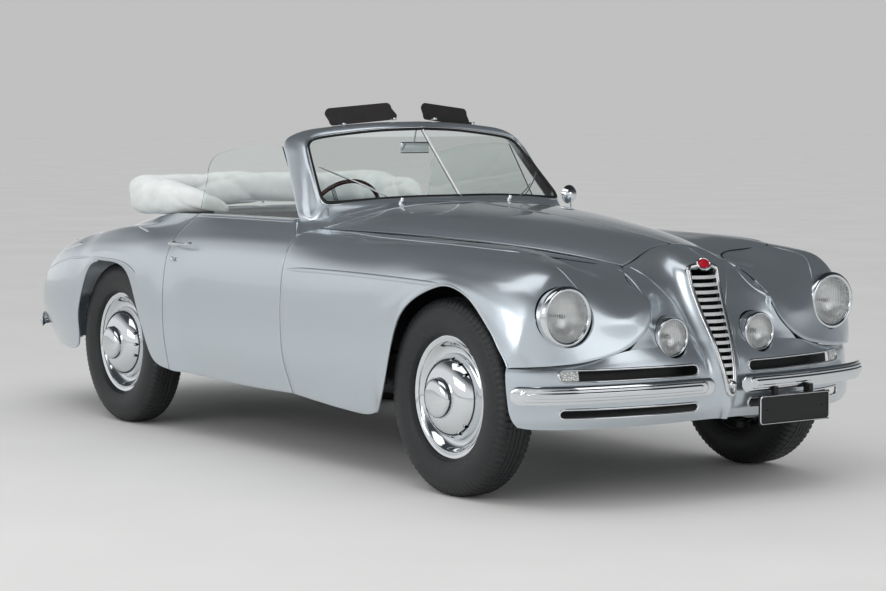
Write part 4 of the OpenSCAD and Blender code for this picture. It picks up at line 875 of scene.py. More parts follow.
def tyre(place):
    """Tyre with four grooves, bars on its shoulders and short cuts across its middle."""
    x, y, left = WHEELS[place]
    turns = 360
    r, h = np.array(TYRE_HALF + [[r, -out] for r, out in TYRE_HALF[::-1]]).T
    count = np.arange(turns + 1)[:, None]
    out = np.abs(h)
    shoulder = (r > 349) & (out > 30)
    groove = (np.abs(out - OUTER_GROOVE) < 0.6) | (np.abs(out - INNER_GROOVE) < 0.6)
    middle = (out < 27) & (r > 377)
    depth = np.where(shoulder & (count % 4 < 1.5), 5.0, 0) + np.where(groove, 6.0, 0)
    depth = depth + np.where(middle & ((count + 2) % 6 < 1), 3.0, 0)
    angle = np.linspace(0, 2 * np.pi, turns + 1)[:, None]
    deep = r - depth
    ring = np.stack([np.cos(angle) * deep, np.broadcast_to(h, deep.shape), np.sin(angle) * deep], -1)
    piece = sheet_of(metres(np.concatenate([ring, ring[:, :1]], 1) + [x, y, TYRE_R]))
    merge(piece)
    outward(piece)
    give(piece, "tyre_" + place + "_treaded", TYRE, "wheel_" + place, 35)
    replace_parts(piece, "tyre_" + place)
    mirrored(piece, left)


for place in WHEELS:
    wheel(place)
    tyre(place)

# Plain CAD nodes that keep their shape take the finish of the real part, all but the bonnet hinge
KEPT = {"chassis": BLACK, "floor_pan": CARPET, "windscreen_glass": GLASS, "dashboard": PAINT,
        # The bonnet hinge is body colour on the car; its dark rubber here is painted shade and a painted dark
        # reflection
        "tail_lamps": RED_GLASS, "number_plate": PLATE_BLACK, "bonnet_hinge": SEAL_AND_SHADE, "engine": IRON,
        "rear_axle": IRON, "front_suspension": IRON, "exhaust": IRON, "fuel_tank": BLACK,
        "door_glass_right": GLASS, "door_glass_left": GLASS, "knuckle_right": IRON, "knuckle_left": IRON}
for name, finish in KEPT.items():
    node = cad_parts[name]
    node.data.materials.clear()
    node.data.materials.append(finish)


def inner_shell():
    """Inner panels as a copy drawn in a little, so that they stay behind the outer skins."""
    copy = copy_of(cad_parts["inner_body"])
    merge(copy)
    centre = Vector((MID / 1000, 0, 0.45))
    copy.data.transform(Matrix.Translation(centre) @ Matrix.Diagonal((0.99, 0.978, 0.968, 1))
                        @ Matrix.Translation(-centre))
    give(copy, "inner_panels", BLACK, BODY)
    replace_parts(copy, "inner_body")


inner_shell()


# Windscreen surround: where the glass starts, its outer front corner and its rear edge
GLASS_EDGE = np.array([(600, 1078), (618, 1095), (612, 1130), (596, 1190), (575, 1265), (560, 1310),
                       (540, 1333), (500, 1348), (400, 1362), (200, 1381), (0, 1388)], float)
GLASS_FOOT = [(200, 1096), (400, 1088), (540, 1079)]
FRAME_FRONT = np.array([(190, 626, 955), (165, 664, 1006), (130, 655, 1050), (100, 640, 1110),
                        (55, 622, 1180), (8, 602, 1255), (-30, 585, 1310), (-60, 558, 1350),
                        (-68, 500, 1378), (-60, 400, 1394), (-34, 200, 1410), (-8, 0, 1416)], float)
FRAME_REAR = np.array([(118, 662, 940), (102, 688, 1004), (67, 683, 1050), (19, 668, 1110),
                       (-37, 651, 1180), (-97, 632, 1255), (-140, 618, 1310), (-160, 590, 1348),
                       (-142, 520, 1378), (-122, 400, 1394), (-96, 200, 1410), (-70, 0, 1415)], float)
SCREEN_FOOT = np.array([(345, 0, 1080), (325, 150, 1078), (290, 300, 1073), (240, 500, 1048),
                        (182, 655, 1006)], float)


def on_pane(outline, ahead):
    """Points [y, z] of an outline set some millimetres ahead of the right pane's plane."""
    return np.array([(300 - 1.007 * (z - 1094) - 0.235 * (y - 12) + ahead, y, z) for y, z in outline])


def frame_shell():
    """Pillars and top rail as rings from the glass over the front corner to the rear edge."""
    edge = on_pane(GLASS_EDGE, 8)
    edge = np.concatenate([edge[:1] + [30, 14, -96], edge])
    rear = FRAME_REAR
    pillar = np.clip((1392 - rear[:, 2]) / 60, 0, 1)[:, None]
    inside = rear + pillar * [12, -36, 0] + (1 - pillar) * [0, 0, -26]
    behind = edge - [16, 0, 0]
    loop = [behind, edge, edge * 0.55 + FRAME_FRONT * 0.45 + [5, 3, 2], FRAME_FRONT,
            FRAME_FRONT * 0.5 + rear * 0.5 + [1, 4, 4], rear, inside * 0.9 + rear * 0.1,
            inside * 0.5 + behind * 0.5]
    rings = np.stack(loop, 1)
    fine = along(rings, steps(0, len(rings) - 1, 66))
    around = along(np.concatenate([fine, fine[:, :1]], 1).swapaxes(0, 1), steps(0, 8, 40)).swapaxes(0, 1)
    return closed_tube(np.concatenate([around, (around * [1, -1, 1])[-2::-1]]))


def frame_sill():
    """Panel from the foot of the glass down to the scuttle."""
    low_edge = on_pane([(0, 1098), *GLASS_FOOT, (600, 1078)], 8)
    back = low_edge - [30, 0, 0]
    rows = np.stack([back - [4, 0, 40], back, low_edge, low_edge * 0.5 + SCREEN_FOOT * 0.5 + [2, 0, 3],
                     SCREEN_FOOT, SCREEN_FOOT - [0, 0, 12]])
    panel = sheet_of(metres(full(along(rows, steps(0, 5, 20)))))
    modify(panel, "SOLIDIFY", thickness=0.003, offset=0)
    return panel


def windscreen():
    piece = give(join(frame_shell(), frame_sill()), "windscreen_surround", PAINT, BODY, 50)
    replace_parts(piece, "windscreen_frame")
    ring = on_pane([(4, 1098), *GLASS_FOOT, *GLASS_EDGE], 10)
    rubber = sweep(smooth_line(ring, 120), oval(7.5, 7.5, 8), (1, 0, 1))
    give(both(rubber), "windscreen_rubber", SEAL_AND_SHADE, BODY, 50)
    middle = np.array([0, 300, 1240])
    wider = (ring - middle) * [1, 1.022, 1.045] + middle + [4, 0, 0]
    bright = sweep(smooth_line(wider, 120), oval(3, 3, 8), (1, 0, 1))
    give(both(bright), "windscreen_bright_line", CHROME, BODY, 50)
    centre = on_pane([(12, z) for z in (1092, 1180, 1290, 1392)], 10) * [1, 0, 1]
    give(sweep(centre, oval(5, 4.5, 12), (1, 0, 0)), "windscreen_centre_strip", SILVERED, BODY, 50)


windscreen()


def aim(piece, at, normal):
    """Turns a piece made about X at the origin to a normal, then moves it to a point in millimetres."""
    way = Vector((normal[0], -normal[1], normal[2]))
    turn = way.to_track_quat("X", "Z").to_matrix().to_4x4()
    piece.data.transform(Matrix.Translation(metres(at)) @ turn @ Matrix.Translation((-MID / 1000, 0, 0)))
    return piece


# Each lamp's rim, glass and reflector as profiles of [radius, distance out], and the bulb of both
LAMPS = {
    "headlamp": (HEADLAMP,
                 [[91, -2], [92.5, 8], [96, 13], [101, 14.5], [107, 12], [111.5, 5], [113, -4], [111, -16],
                  [106, -36], [101, -60], [97, -60], [102, -36], [106, -10], [98, 2]],
                 [[0.5, 15], [40, 14], [72, 11], [92, 5], [92, 1], [72, 7], [40, 10], [0.5, 11]],
                 [[92, -3], [87, -20], [73, -38], [50, -52], [22, -59], [0.5, -60], [0.5, -63], [22, -62],
                  [53, -55], [76, -41], [90, -22], [98, -3]]),
    "fog_lamp": (FOG_LAMP,
                 [[64, -1], [65, 4], [68, 6.5], [71, 6], [73.5, 2], [74.5, -5], [74.5, -42], [71, -42],
                  [71, -6]],
                 [[0.5, 4], [40, 3.5], [64.5, 1.5], [64.5, -2], [40, 0], [0.5, 0.5]],
                 [[65, -4], [58, -20], [40, -32], [16, -38], [0.5, -39], [0.5, -42], [17, -41], [43, -35],
                  [61, -22], [69, -4]])}
BULB = [[0.5, -18], [7, -21], [10, -28], [8, -36], [4, -42], [4, -60], [0.5, -60]]


def lamps():
    for name, (at, ring, lens, bowl) in LAMPS.items():
        rim = both(lathe(ring, at, "X", 96))
        give(rim, name + "_rims", CHROME, BODY, 50)
        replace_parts(rim, name + "s")
        give(both(lathe(lens, at, "X", 72)), name + "_glasses", LENS_GLASS, BODY)
        give(both(lathe(bowl, at, "X", 72)), name + "_reflectors", SILVERED, BODY)
        give(both(lathe(BULB, at, "X", 24)), name + "_bulbs", INDICATOR, BODY)


lamps()

# Bumper lines of [x, y] from the middle of the car out, and half the blade's height
BUMPER_FRONT = [[2048, 66], [2044, 180], [2034, 360], [2008, 540], [1966, 700], [1916, 800], [1850, 872]]
BUMPER_REAR = [[-2600, 60], [-2595, 200], [-2564, 440], [-2522, 565], [-2453, 675], [-2363, 735],
               [-2264, 786]]
BLADE_HALF = 34.0


def blade(line, z, way):
    """Bumper blade with round ends and two raised bands, one inside the other."""
    path = smooth_line(np.column_stack([line, np.full(len(line), z)]), 400)
    run = run_of(path)
    length = run[-1]
    tips = BLADE_HALF * (1 - np.cos(np.linspace(0, np.pi / 2, 12)))
    ends = np.arange(BLADE_HALF + 4, 110, 4)
    s = np.concatenate([tips + 0.4, ends, np.linspace(110, length - 110, 70), length - ends[::-1],
                        length - 0.4 - tips[::-1]])
    at = np.stack([np.interp(s, run, path[:, i]) for i in range(3)], -1)
    ahead = heading(at)
    out = np.stack([ahead[:, 1], -ahead[:, 0], np.zeros(len(s))], -1) * way
    near = np.minimum(s, length - s)
    rounded = np.sqrt(np.maximum(BLADE_HALF ** 2 - (BLADE_HALF - near) ** 2, 9))
    half = np.where(near < BLADE_HALF, rounded, BLADE_HALF)
    v = np.linspace(-1, 1, 47)
    up = half[:, None] * v
    rise = 6 * (1 - v ** 4)[None] * (half / BLADE_HALF)[:, None] - 3
    for start, tall in ((40, 22), (66, 11)):
        beyond = np.maximum(start + tall - near, 0)[:, None]
        inside = tall - np.sqrt(beyond ** 2 + up ** 2)
        rise = rise + 4.5 * np.sin(np.clip(inside / 4, 0, 1) * np.pi / 2)
    points = at[:, None] + out[:, None] * rise[..., None] + np.array([0, 0, 1]) * up[..., None]
    piece = sheet_of(metres(points))
    outward(piece)
    modify(piece, "SOLIDIFY", thickness=0.004, offset=-1)
    return piece


def bumpers():
    pieces = []
    for line, z, way, brackets in ((BUMPER_FRONT, 436, 1, ((2000, 240), (1948, 560))),
                                   (BUMPER_REAR, 415, -1, ((-2572, 240), (-2504, 540)))):
        pieces.append(blade(line, z, way))
        pieces += [cylinder(12, 50, (x + 22 * way, y, z), "X", 24) for x, y in brackets]
    piece = both(join(*pieces))
    give(piece, "bumper_blades", CHROME, BODY, 45)
    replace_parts(piece, "bumpers")


bumpers()


GRILLE_TOP = [[1893, 0, 878], [1886, 34, 876], [1880, 58, 871]]
GRILLE_FOOT = [[2054, 10, 408], [2056, 0, 402]]
BAR_SECTION = [[3, -6.5], [-1.5, -5.6], [-4, -3.2], [-5, 0], [-4, 3.2], [-1.5, 5.6], [3, 6.5]]
BARS = 15
BADGE_PIXEL = (703, 266)


def grille():
    edge = grille_edge()
    side = np.concatenate([GRILLE_TOP, edge, GRILLE_FOOT])
    ring = np.concatenate([side, (side * [1, -1, 1])[-2:0:-1]])
    line = smooth_line(np.concatenate([ring, ring[:1]]), 220)[:-1] + [6, 0, 0]
    surround = sweep(line, oval(10, 8.5, 12), (1, 0, 0.01), closed=True)
    bars = []
    for k, p in enumerate(evenly(edge, 10 * (BARS + 1))[10:-10:10], 1):
        bulge = 30 - 18 * k / BARS
        path = [[p[0] + bulge * (1 - t * t) - 4, t * (p[1] + 2), p[2]] for t in np.linspace(-1, 1, 13)]
        bars.append(sweep(path, BAR_SECTION))
    piece = give(join(surround, *bars), "grille_bars", ALUMINIUM, BODY, 50)
    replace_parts(piece, "grille")


def badge():
    """Plain enamel disc in a bright ring over the grille, and the small ball at its foot."""
    at, normal = seen([panels["nose"]], [BADGE_PIXEL])
    ring = lathe([[21, 1], [21.5, 5], [24, 6.5], [27, 5.5], [29, 2], [29, -6], [21, -6]], (0, 0, 0), "X", 48)
    disc = lathe([[0.5, 5], [9, 4.8], [21.5, 4], [21.5, -4], [0.5, -4]], (0, 0, 0), "X", 48)
    at = at[0] + normal[0] * 13
    give(aim(ring, at, normal[0]), "badge_ring", CHROME, BODY)
    give(aim(disc, at, normal[0]), "badge_enamel_disc", RED_ENAMEL, BODY)
    ball = [[0.5, 16], [9, 13], [14, 7], [16, 0], [14, -7], [9, -13], [0.5, -16]]
    give(lathe(ball, (2066, 0, 440), "X", 32), "foot_ball", CHROME, BODY)


grille()
badge()


# Lines of the photograph in pixels: creases, beads and bright strips on the panels, and the dark gap beside
# the bonnet
CREASE = ((286, 269.2), (301.9, 269.9), (325, 271.6), (349.7, 273.9), (373, 276.4), (397.6, 279.4),
          (418, 282), (436, 284.4), (449, 287.4), (459, 293), (467, 299.5))
LOBE = ((618, 269.4), (622.9, 271.3), (630.5, 277), (636.7, 283.4), (642.5, 291), (647, 298.9),
        (650.4, 306), (652.2, 312.7), (652, 320), (650.4, 326.4))
BEAD = ((337, 230.9), (360, 233.8), (381.6, 237.2), (415, 240.6), (450, 244.2), (485, 248.2), (520, 252.3))
CREST = ((541, 256.5), (553, 264), (564.3, 273.1), (573, 282.5), (581, 293))
WEDGE = ((530, 254), (552, 257.2), (575, 260.8), (597.6, 264.1))
PROW = ((625, 265.4), (636.6, 269.6), (653.9, 281.7), (671.1, 298.9), (683.1, 316.1), (690, 333.3),
        (697.1, 342), (703.3, 357.3), (707.3, 372.7))
SWAGE = ((47, 271), (54, 265), (61.3, 261.2), (76.8, 256.9), (97.5, 257.8), (112, 259.8), (123.3, 262.9),
         (131, 268.5), (136, 276))
TAIL_LINE = ((66, 251), (73, 247), (83, 243))
BRIGHT_PIECE = ((139.5, 226.4), (144, 228.6), (149, 231.4))


def settled(values, spread=3):
    """Each row averaged with its neighbours, the ends kept."""
    padded = np.pad(values, ((spread, spread), (0, 0)), mode="edge")
    mean = sum(padded[i:i + len(values)] for i in range(2 * spread + 1)) / (2 * spread + 1)
    mean[0], mean[-1] = values[0], values[-1]
    return mean


def line_on(pieces, pixels, width, proud, n=60, **more):
    """Moulding on the pieces along a line of the photograph."""
    points, normals = (settled(a) for a in seen(pieces, smooth_line(pixels, n)))
    return strip(points, normals, width, proud, **more)


def arch_rim(net, start, stop):
    """Rolled edge along the foot of a net, from one row to another."""
    foot = patch(net, steps(start, stop, 120), np.array([6.9, 7.0]))[:, 1]
    return sweep(foot - [0, 3, 0], oval(5.5, 5.5, 10), (0, 1, 0.01))


def panel_lines():
    tail = [panels["tail"]]
    front = [panels[k] for k in ("wing", "nose", "apron", "bonnet", "cowl")]
    raised = [arch_rim(WING, 2.35, 11), arch_rim(SIDE, 8.4, 14.6),
              line_on(front, CREASE, 20, 4, sink=3, taper=0.12),
              line_on(front, LOBE, 24, 3.5, sink=9, taper=0.3),
              line_on(front, BEAD, 9, 3.2), line_on(front, CREST, 14, 3, 30, taper=0.3),
              line_on(front, PROW, 14, 3, taper=0.2), line_on(tail, SWAGE, 12, 3.5)]
    give(both(join(*raised)), "panel_creases", PAINT, BODY, 60)
    # Dark strip along the gap between bonnet and wing: painted shade of the gap
    give(both(line_on(front, WEDGE, 9, 0.8, 30)), "bonnet_gap_painted_shade", SEAL_AND_SHADE, BODY)
    bright = [line_on(tail, TAIL_LINE, 16, 7, 20), line_on(tail, BRIGHT_PIECE, 13, 6, 16)]
    give(both(join(*bright)), "rear_wing_bright_pieces", CHROME, BODY)


panel_lines()


# Door handle's grip as points from its front foot, with its size at each
HANDLE = np.array([-735, 850, 874.0])
GRIP = [[0, 10, 0], [14, 22, 1], [60, 27, 2], [110, 26, 3], [150, 20, 4], [163, 6, 4]]
GRIP_SIZE = np.array([[0.5, 0.5], [0.85, 0.8], [1, 1], [0.85, 0.85], [0.6, 0.6], [0.5, 0.5]])


def door_trim(side):
    """Bright strip, swage, handle and lock of a door."""
    left = side == "left"
    top = patch(SIDE, steps(0.12, 3.9, 90), np.array([0.02, 0.12])).mean(1)
    bright = strip(top, np.broadcast_to([0, 0.45, 0.9], top.shape), 7, 4.5)
    middle = patch(SIDE, steps(0.12, 3.9, 60), np.array([0.5]))[:, 0]
    ridge = strip(middle, np.broadcast_to([0, 0.6, 0.8], middle.shape), 12, 2.6)
    give(mirrored(ridge, left), f"door_{side}_ridge", PAINT, f"door_{side}", 60)
    sizes = along(GRIP_SIZE, steps(0, len(GRIP) - 1, 40))
    grip = sweep(smooth_line(HANDLE + GRIP, 40), oval(8, 12, 14), (0, 1, 0.2), scale=sizes)
    feet = [cylinder(12, 18, HANDLE + [8, 2, 0], "Y", 24), cylinder(8, 16, HANDLE + [158, 0, 4], "Y", 24)]
    lock = lathe([[0.5, 5], [7, 4.5], [9, 3], [10, -6], [0.5, -6]], (-716, 868, 806), "Y", 24)
    parts = mirrored(join(bright, grip, *feet, lock), left)
    give(parts, f"door_{side}_bright_work", CHROME, f"door_{side}", 50)


door_trim("right")
door_trim("left")


# Folded hood: path of the bundle with its half width and half height
BUNDLE = np.array([(-700, 578, 1020, 12, 13), (-850, 574, 1038, 36, 40), (-1050, 622, 1058, 72, 72),
                   (-1230, 648, 1062, 90, 92), (-1375, 634, 1070, 96, 96), (-1425, 540, 1078, 92, 90),
                   (-1424, 380, 1082, 90, 82), (-1420, 190, 1088, 92, 80), (-1420, 0, 1090, 92, 80)], float)


def hood_cover():
    """Bundle of cloth with crossing folds, deeper where it is thick, over a square-shouldered section."""
    line = np.concatenate([BUNDLE, (BUNDLE * [1, -1, 1, 1, 1])[-2::-1]])
    fine = along(line, steps(0, len(line) - 1, 240))
    path, half_w, half_h = fine[:, :3], fine[:, 3], fine[:, 4]
    run = run_of(path)
    ahead = heading(path)
    out = np.stack([-ahead[:, 1], ahead[:, 0], np.zeros(len(run))], -1)
    a = np.linspace(0, 2 * np.pi, 49)[None]
    s = run[:, None]
    pleat = lambda x: 2 * np.abs(np.sin(x / 2)) ** 0.55 - 1.3
    size = np.clip(half_h / 80, 0, 1)[:, None]
    fold = (11.0 * pleat(2 * a + s / 62 + 0.9 * np.sin(s / 210)) * (0.55 + 0.45 * np.sin(s / 170 + 1.3))
            + 8.0 * pleat(3 * a - s / 83 + 1.7 * np.sin(s / 330 + 2)) * (0.5 + 0.5 * np.sin(s / 240 + 4))
            + 1.6 * np.sin(5 * a + s / 29 + 2 * np.sin(s / 90))
            + 3.0 * np.sin(s / 95 + 1.5 * np.sin(a + 1)) * np.cos(a - 0.6))
    belly = 1 + 0.10 * np.sin(a - 0.35) ** 2
    lift = np.where(np.sin(a) < 0, 0.86, 1.0)
    square = lambda x: np.sign(x) * np.abs(x) ** 0.82
    r = square(np.cos(a)) * (half_w[:, None] * belly - 5) + fold * np.cos(a) * size
    h = square(np.sin(a)) * (half_h[:, None] * lift - 3) + fold * np.sin(a) * size * 0.9
    points = path[:, None] + out[:, None] * r[..., None] + np.array([0, 0, 1]) * h[..., None]
    cover = closed_tube(points)
    modify(cover, "SUBSURF", levels=1)
    give(cover, "hood_cover_cloth", CLOTH, BODY, 70)
    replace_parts(cover, "hood_cover")
    low = path + out * (half_w * 0.62)[:, None] + np.array([0, 0, 1]) * (-half_h * 0.74)[:, None]
    give(sweep(low[17:-17], oval(3.2, 3.2, 8)), "hood_cover_piping", CLOTH, BODY, 70)
    head = [[0.5, 4], [4, 3.4], [6, 1.5], [6.5, -3], [0.5, -3]]
    studs = [lathe(head, low[i] + out[i] * 6 - [0, 0, 6], "X", 16) for i in range(34, 207, 17)]
    give(join(*studs), "hood_cover_studs", CHROME, BODY)


hood_cover()


def pad(low, high, name, lean, pleats, across):
    """Upholstered block with rolled edges and stitched pleats on its face."""
    piece = block(low, high, 38, 5)
    edit(piece, lambda: bpy.ops.mesh.subdivide(number_cuts=5))
    co = np.empty(len(piece.data.vertices) * 3)
    piece.data.vertices.foreach_get("co", co)
    co = co.reshape(-1, 3)
    low, high = metres(low), metres(high)
    low, high = np.minimum(low, high), np.maximum(low, high)
    u = (co - low) / (high - low)
    face = 2 if across == 0 else 0
    edge = np.prod([np.clip(np.minimum(u[:, k], 1 - u[:, k]) * 6, 0, 1) for k in (1, across)], axis=0)
    on_face = np.clip((u[:, face] - 0.7) / 0.3, 0, 1)
    swell = 0.022 * np.sin(np.pi * u[:, 1]) * np.sin(np.pi * u[:, across])
    flute = 0.009 * (np.abs(np.sin(np.pi * pleats * u[:, 1])) ** 0.6 - 1) * edge
    co[:, face] += on_face * (swell + flute)
    co[:, 0] -= lean * (co[:, 2] - low[2])
    piece.data.vertices.foreach_set("co", co.reshape(-1))
    piece.data.update()
    give(piece, name, HIDE, BODY, 70)
    return piece


# Seat pads from corner to corner: name, low and high x and z, how far the top leans back, and the long side
PADS = (("seat_cushion", (-690, 447), (-172, 592), 0, 0), ("seat_back", (-812, 447), (-712, 955), 0.139, 2))
SEAT_INNER, SEAT_OUTER, PLEATS = 165, 605, 9


def seats():
    made = []
    for name, (x0, z0), (x1, z1), lean, across in PADS:
        for side, y0, y1 in (("right", SEAT_INNER, SEAT_OUTER), ("left", -SEAT_OUTER, -SEAT_INNER)):
            made.append(pad((x0, y0, z0), (x1, y1, z1), f"{name}_{side}", lean, PLEATS, across))
    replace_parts(made[0], "seats")


seats()


def placed(points, at, lean, turn):
    """CAD points in millimetres, y to the left, leaned about x and turned about z, in metres."""
    move = (Matrix.Translation(Vector(at) + Vector((MID, 0, 0))) @ Matrix.Rotation(math.radians(turn), 4, "Z")
            @ Matrix.Rotation(math.radians(lean), 4, "X"))
    flat = np.array([move @ Vector(p) for p in points.reshape(-1, 3)])
    return flat.reshape(points.shape) / 1000


# Sun visors: place, lean, turn, width and height, and each corner's [along, up, first angle, radius]
VISORS = (((-72, -78, 1428), -5, 171.5, 350, 78,
           ((308, 20, -90, 20), (320, 52, 0, 26), (50, 52, 90, 26), (20, 20, 180, 20))),
          ((-72, 48, 1430), -6, 9, 312, 74,
           ((286, 20, -90, 20), (260, 48, 0, 26), (26, 48, 90, 26), (36, 20, 180, 20))))
VISOR_LAYERS = ((-5, 0.975), (-5.0, 0.99), (-3.6, 1), (-1.4, 1), (0, 0.99), (0, 0.975))
VISOR_CLIPS = ((-81, 104, 1425), (-118, 344, 1403), (-86, -116, 1425), (-118, -346, 1403))


def rounded(corners):
    """Outline through quarter turns, each [across, up, first angle in degrees, radius]."""
    quarters = [(y, z, r, np.radians(np.linspace(start, start + 90, 8))) for y, z, start, r in corners]
    return np.concatenate([np.stack([y + r * np.cos(t), z + r * np.sin(t)], -1) for y, z, r, t in quarters])


def visors():
    made = []
    for at, lean, turn, w, h, corners in VISORS:
        ring = rounded(corners)
        ring = np.concatenate([ring, ring[:1]])
        middle = np.array([w / 2, h / 2])
        layers = [np.column_stack([np.full(len(ring), x), middle + (ring - middle) * k])
                  for x, k in VISOR_LAYERS]
        made.append(capped(placed(np.stack(layers), at, lean, turn)))
    piece = give(join(*made), "sun_visor_pads", DARK_HIDE, BODY, 50)
    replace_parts(piece, "sun_visors")
    clips = [block((x, y, z), (x + 48, y + 16, z + 12), 3) for x, y, z in VISOR_CLIPS]
    give(join(*clips), "visor_clips", CHROME, BODY)


visors()


def mirrors():
    glass = block((-62, -80, 1276), (-50, 70, 1326), 5, 4)
    stem = sweep([(-56, 0, 1318), (-50, 0, 1340), (-32, 0, 1396)], oval(4, 4, 12), (0, 1, 0))
    shell = lathe([[0.5, 31], [12, 30], [24, 25], [34, 16], [41, 4], [43, 1], [42, -1], [38, 0], [0.5, 1]],
                  (150, -714, 1086), "X", 48)
    arm = sweep(smooth_line([(168, -714, 1062), (166, -714, 1020), (160, -712, 975), (158, -708, 955)], 20),
                oval(5, 5, 12), (1, 0, 0))
    foot = lathe([[0.5, 10], [8, 8], [16, 2], [20, -8], [0.5, -8]], (0, 0, 0), "X", 24)
    aim(foot, (158, -708, 955), (0, -0.3, 1))
    piece = give(join(glass, stem, shell, arm, foot), "mirror_shells", CHROME, BODY)
    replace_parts(piece, "mirrors")


mirrors()

# Wipers at rest in pixels of the photograph: arm and blade of each, and the height of their spindles
WIPERS = ((((399, 204), (380, 195), (358, 184.5)), ((318, 167), (345, 178.4), (376, 191))),
          (((515, 199), (523, 193), (530, 184)), ((522, 199), (530, 187), (537, 171))))
SPINDLES = ((327, 318, 1086), (327, -250, 1086))


def wipers():
    bright, dark = [], []
    panes = [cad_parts["windscreen_glass"]]
    for arm, rubber in WIPERS:
        points, normals = seen(panes, smooth_line(arm, 12))
        bright.append(strip(points + normals * 9, normals, 5, 4))
        points, normals = seen(panes, smooth_line(rubber, 12))
        bright.append(strip(points + normals * 6, normals, 5, 4))
        dark.append(strip(points + normals * 2, normals, 3, 4))
    turned = [[0.5, 14], [5, 13], [7, 10], [8, 2], [12, -2], [13, -16], [0.5, -16]]
    bright += [aim(lathe(turned, (0, 0, 0), "X", 24), at, (0.5, 0, 1)) for at in SPINDLES]
    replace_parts(give(join(*bright), "wiper_arms", CHROME, BODY), "wipers")
    give(join(*dark), "wiper_rubbers", SEAL_AND_SHADE, BODY)


wipers()


# Middle of the steering wheel and its tilt in degrees, its rim's two radii, and its hub's profile
STEERING, STEERING_TURN, STEERING_RIM = (-130, 330, 985), 115, (0.19, 0.0095)
HORN = [[0.5, 30], [14, 29], [24, 24], [30, 14], [31, 0], [30, -14], [11.2, -14], [11.2, -4], [0.5, -4]]


def steering_wheel():
    """Wooden rim on three spokes of three wires each, drawn flat about Z and then tilted."""
    pick()
    radius, half = STEERING_RIM
    bpy.ops.mesh.primitive_torus_add(major_segments=144, minor_segments=20,
                                     major_radius=radius, minor_radius=half)
    rim = bpy.context.object
    horn = lathe(HORN, (-MID, 0, 0), "X", 48)
    horn.data.transform(Matrix.Rotation(math.radians(-90), 4, "Y"))
    spokes = []
    for a in (90, 210, 330):
        for offset in (-7, 0, 7):
            wire = [(24 - MID, offset, 4), (100 - MID, offset, -3), (180 - MID, offset, 0)]
            spoke = sweep(wire, oval(2, 2, 8))
            spoke.data.transform(Matrix.Rotation(math.radians(a), 4, "Z"))
            spokes.append(spoke)
    metal = join(horn, *spokes)
    tilt = Matrix.Translation(metres(STEERING)) @ Matrix.Rotation(math.radians(STEERING_TURN), 4, "Y")
    for piece in (rim, metal):
        piece.data.transform(tilt)
    give(rim, "steering_rim", WOOD, "steering_wheel", 60)
    give(metal, "steering_spokes", CHROME, "steering_wheel", 50)
    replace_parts(rim, "steering_wheel")


steering_wheel()


def plate_border():
    """Bright edge round the blank plate, which hangs on the car's left."""
    half_w, half_h, r = 176, 52, 12
    y, z = half_w - r, half_h - r
    edge = rounded(((y, -z, -90, r), (y, z, 0, r), (-y, z, 90, r), (-y, -z, 180, r))) + [-320, 331]
    path = np.column_stack([np.full(len(edge), 2064), edge])
    give(sweep(path, oval(2.5, 2.5, 8), (1, 0, 0), closed=True), "plate_border", CHROME, BODY)


plate_border()


# Gauges on the dash as [y, height, radius]
GAUGES = ((330, 985, 52), (200, 985, 40), (60, 985, 30), (-60, 985, 30))
DASH_X = 56


def gauges():
    """Dials with bright rims, drawn facing forward and then turned to face the seats."""
    rings, faces = [], []
    for y, z, r in GAUGES:
        rim = [[r - 4, 0], [r - 3, 6], [r, 8], [r + 3, 6], [r + 4, 0], [r + 4, -6], [r - 4, -6]]
        rings.append(lathe(rim, (DASH_X, y, z), "X", 48))
        faces.append(lathe([[0.5, 2], [r - 3, 2], [r - 3, -3], [0.5, -3]], (DASH_X, y, z), "X", 40))
    turned = Matrix.Translation(((DASH_X + MID) / 500, 0, 0)) @ Matrix.Scale(-1, 4, (1, 0, 0))
    for piece in (*rings, *faces):
        piece.data.transform(turned)
        piece.data.flip_normals()
    give(join(*rings), "gauge_rims", CHROME, BODY)
    give(join(*faces), "gauge_faces", INDICATOR, BODY)


gauges()


# Studio: three soft lamps over, beside and ahead of the car, each with its place, size in metres and watts
LAMPS_AROUND = (("overhead", (1.5, -2.5, 5.0), (6, 2.5), 60), ("side", (2.0, -8.0, 3.2), (7, 2.0), 110),
                ("front", (8.5, 1.5, 3.0), (3, 2.5), 35))
AIMED_AT = Vector((0.2, 0, 0.6))


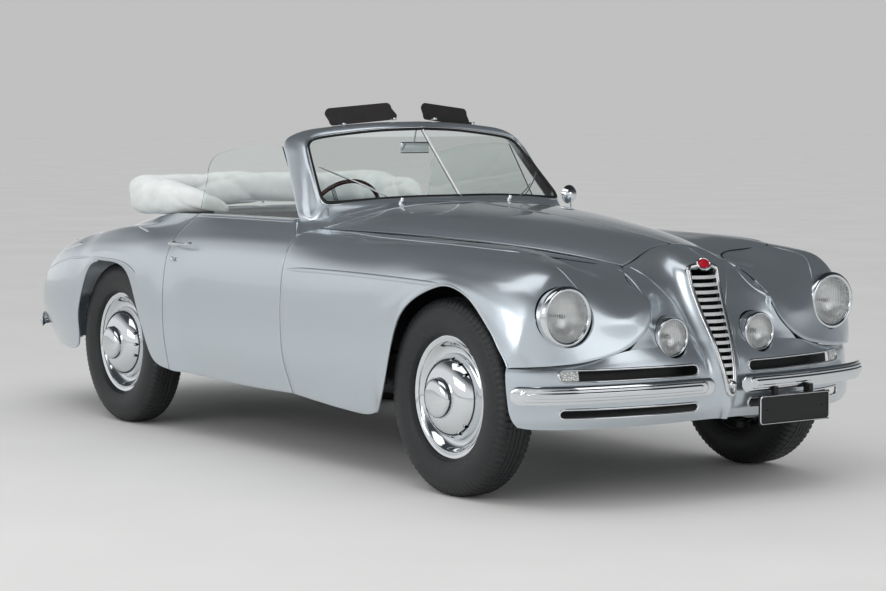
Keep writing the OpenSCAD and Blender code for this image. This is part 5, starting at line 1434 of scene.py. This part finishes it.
def concrete():
    # Sealed pale concrete, nearly even, with clouds of more than a metre
    return toned("sealed_concrete", 0.8, "#DCDCDA", "#E2E2E0", Roughness=0.75, Specular_IOR_Level=0.15)


def stage_floor():
    pick()
    bpy.ops.mesh.primitive_plane_add(size=300, location=(0, 0, 0))
    floor = bpy.context.object
    floor.name = "floor"
    floor.data.materials.append(concrete())


def surroundings():
    """Even pale light, a pale backdrop for the camera, and a pale to dark ceiling for reflections."""
    world = bpy.data.worlds.new("studio")
    bpy.context.scene.world = world
    world.use_nodes = True
    tree = world.node_tree
    where = add(tree, "TexCoord").outputs["Generated"]
    axes = add(tree, "SeparateXYZ", {"Vector": where}).outputs
    # What the right side mirrors, where the side lamp stands, is paler than what the left side mirrors
    shade = add(tree, "Math", {0: axes["Y"], 1: 0.32, 2: axes["Z"]}, operation="MULTIPLY_ADD")
    ramp = add(tree, "ValToRGB", {"Fac": shade.outputs["Value"]})
    low, high = ramp.color_ramp.elements
    low.position, low.color = 0.1, colour("#FAFBFC")
    high.position, high.color = 1.0, colour("#2C2F32")
    ramp.color_ramp.elements.new(0.5).color = colour("#505458")
    rays = add(tree, "LightPath").outputs
    sharp = add(tree, "MixRGB", {"Fac": rays["Is Glossy Ray"], "Color1": colour("#F2F3F4"),
                                 "Color2": ramp.outputs["Color"]})
    mixed = add(tree, "MixRGB", {"Fac": rays["Is Camera Ray"], "Color1": sharp.outputs["Color"],
                                 "Color2": colour("#CFCFCF")})
    tree.links.new(mixed.outputs["Color"], tree.nodes["Background"].inputs["Color"])
    tree.nodes["Background"].inputs["Strength"].default_value = 0.85


def studio():
    stage_floor()
    surroundings()
    for name, at, size, power in LAMPS_AROUND:
        data = bpy.data.lights.new(name, "AREA")
        data.shape, data.size, data.size_y, data.energy = "RECTANGLE", *size, power
        lamp = bpy.data.objects.new(name, data)
        bpy.context.collection.objects.link(lamp)
        lamp.location = at
        lamp.rotation_euler = (AIMED_AT - Vector(at)).to_track_quat("-Z", "Y").to_euler()
    bpy.context.scene.view_settings.view_transform = "Standard"


studio()
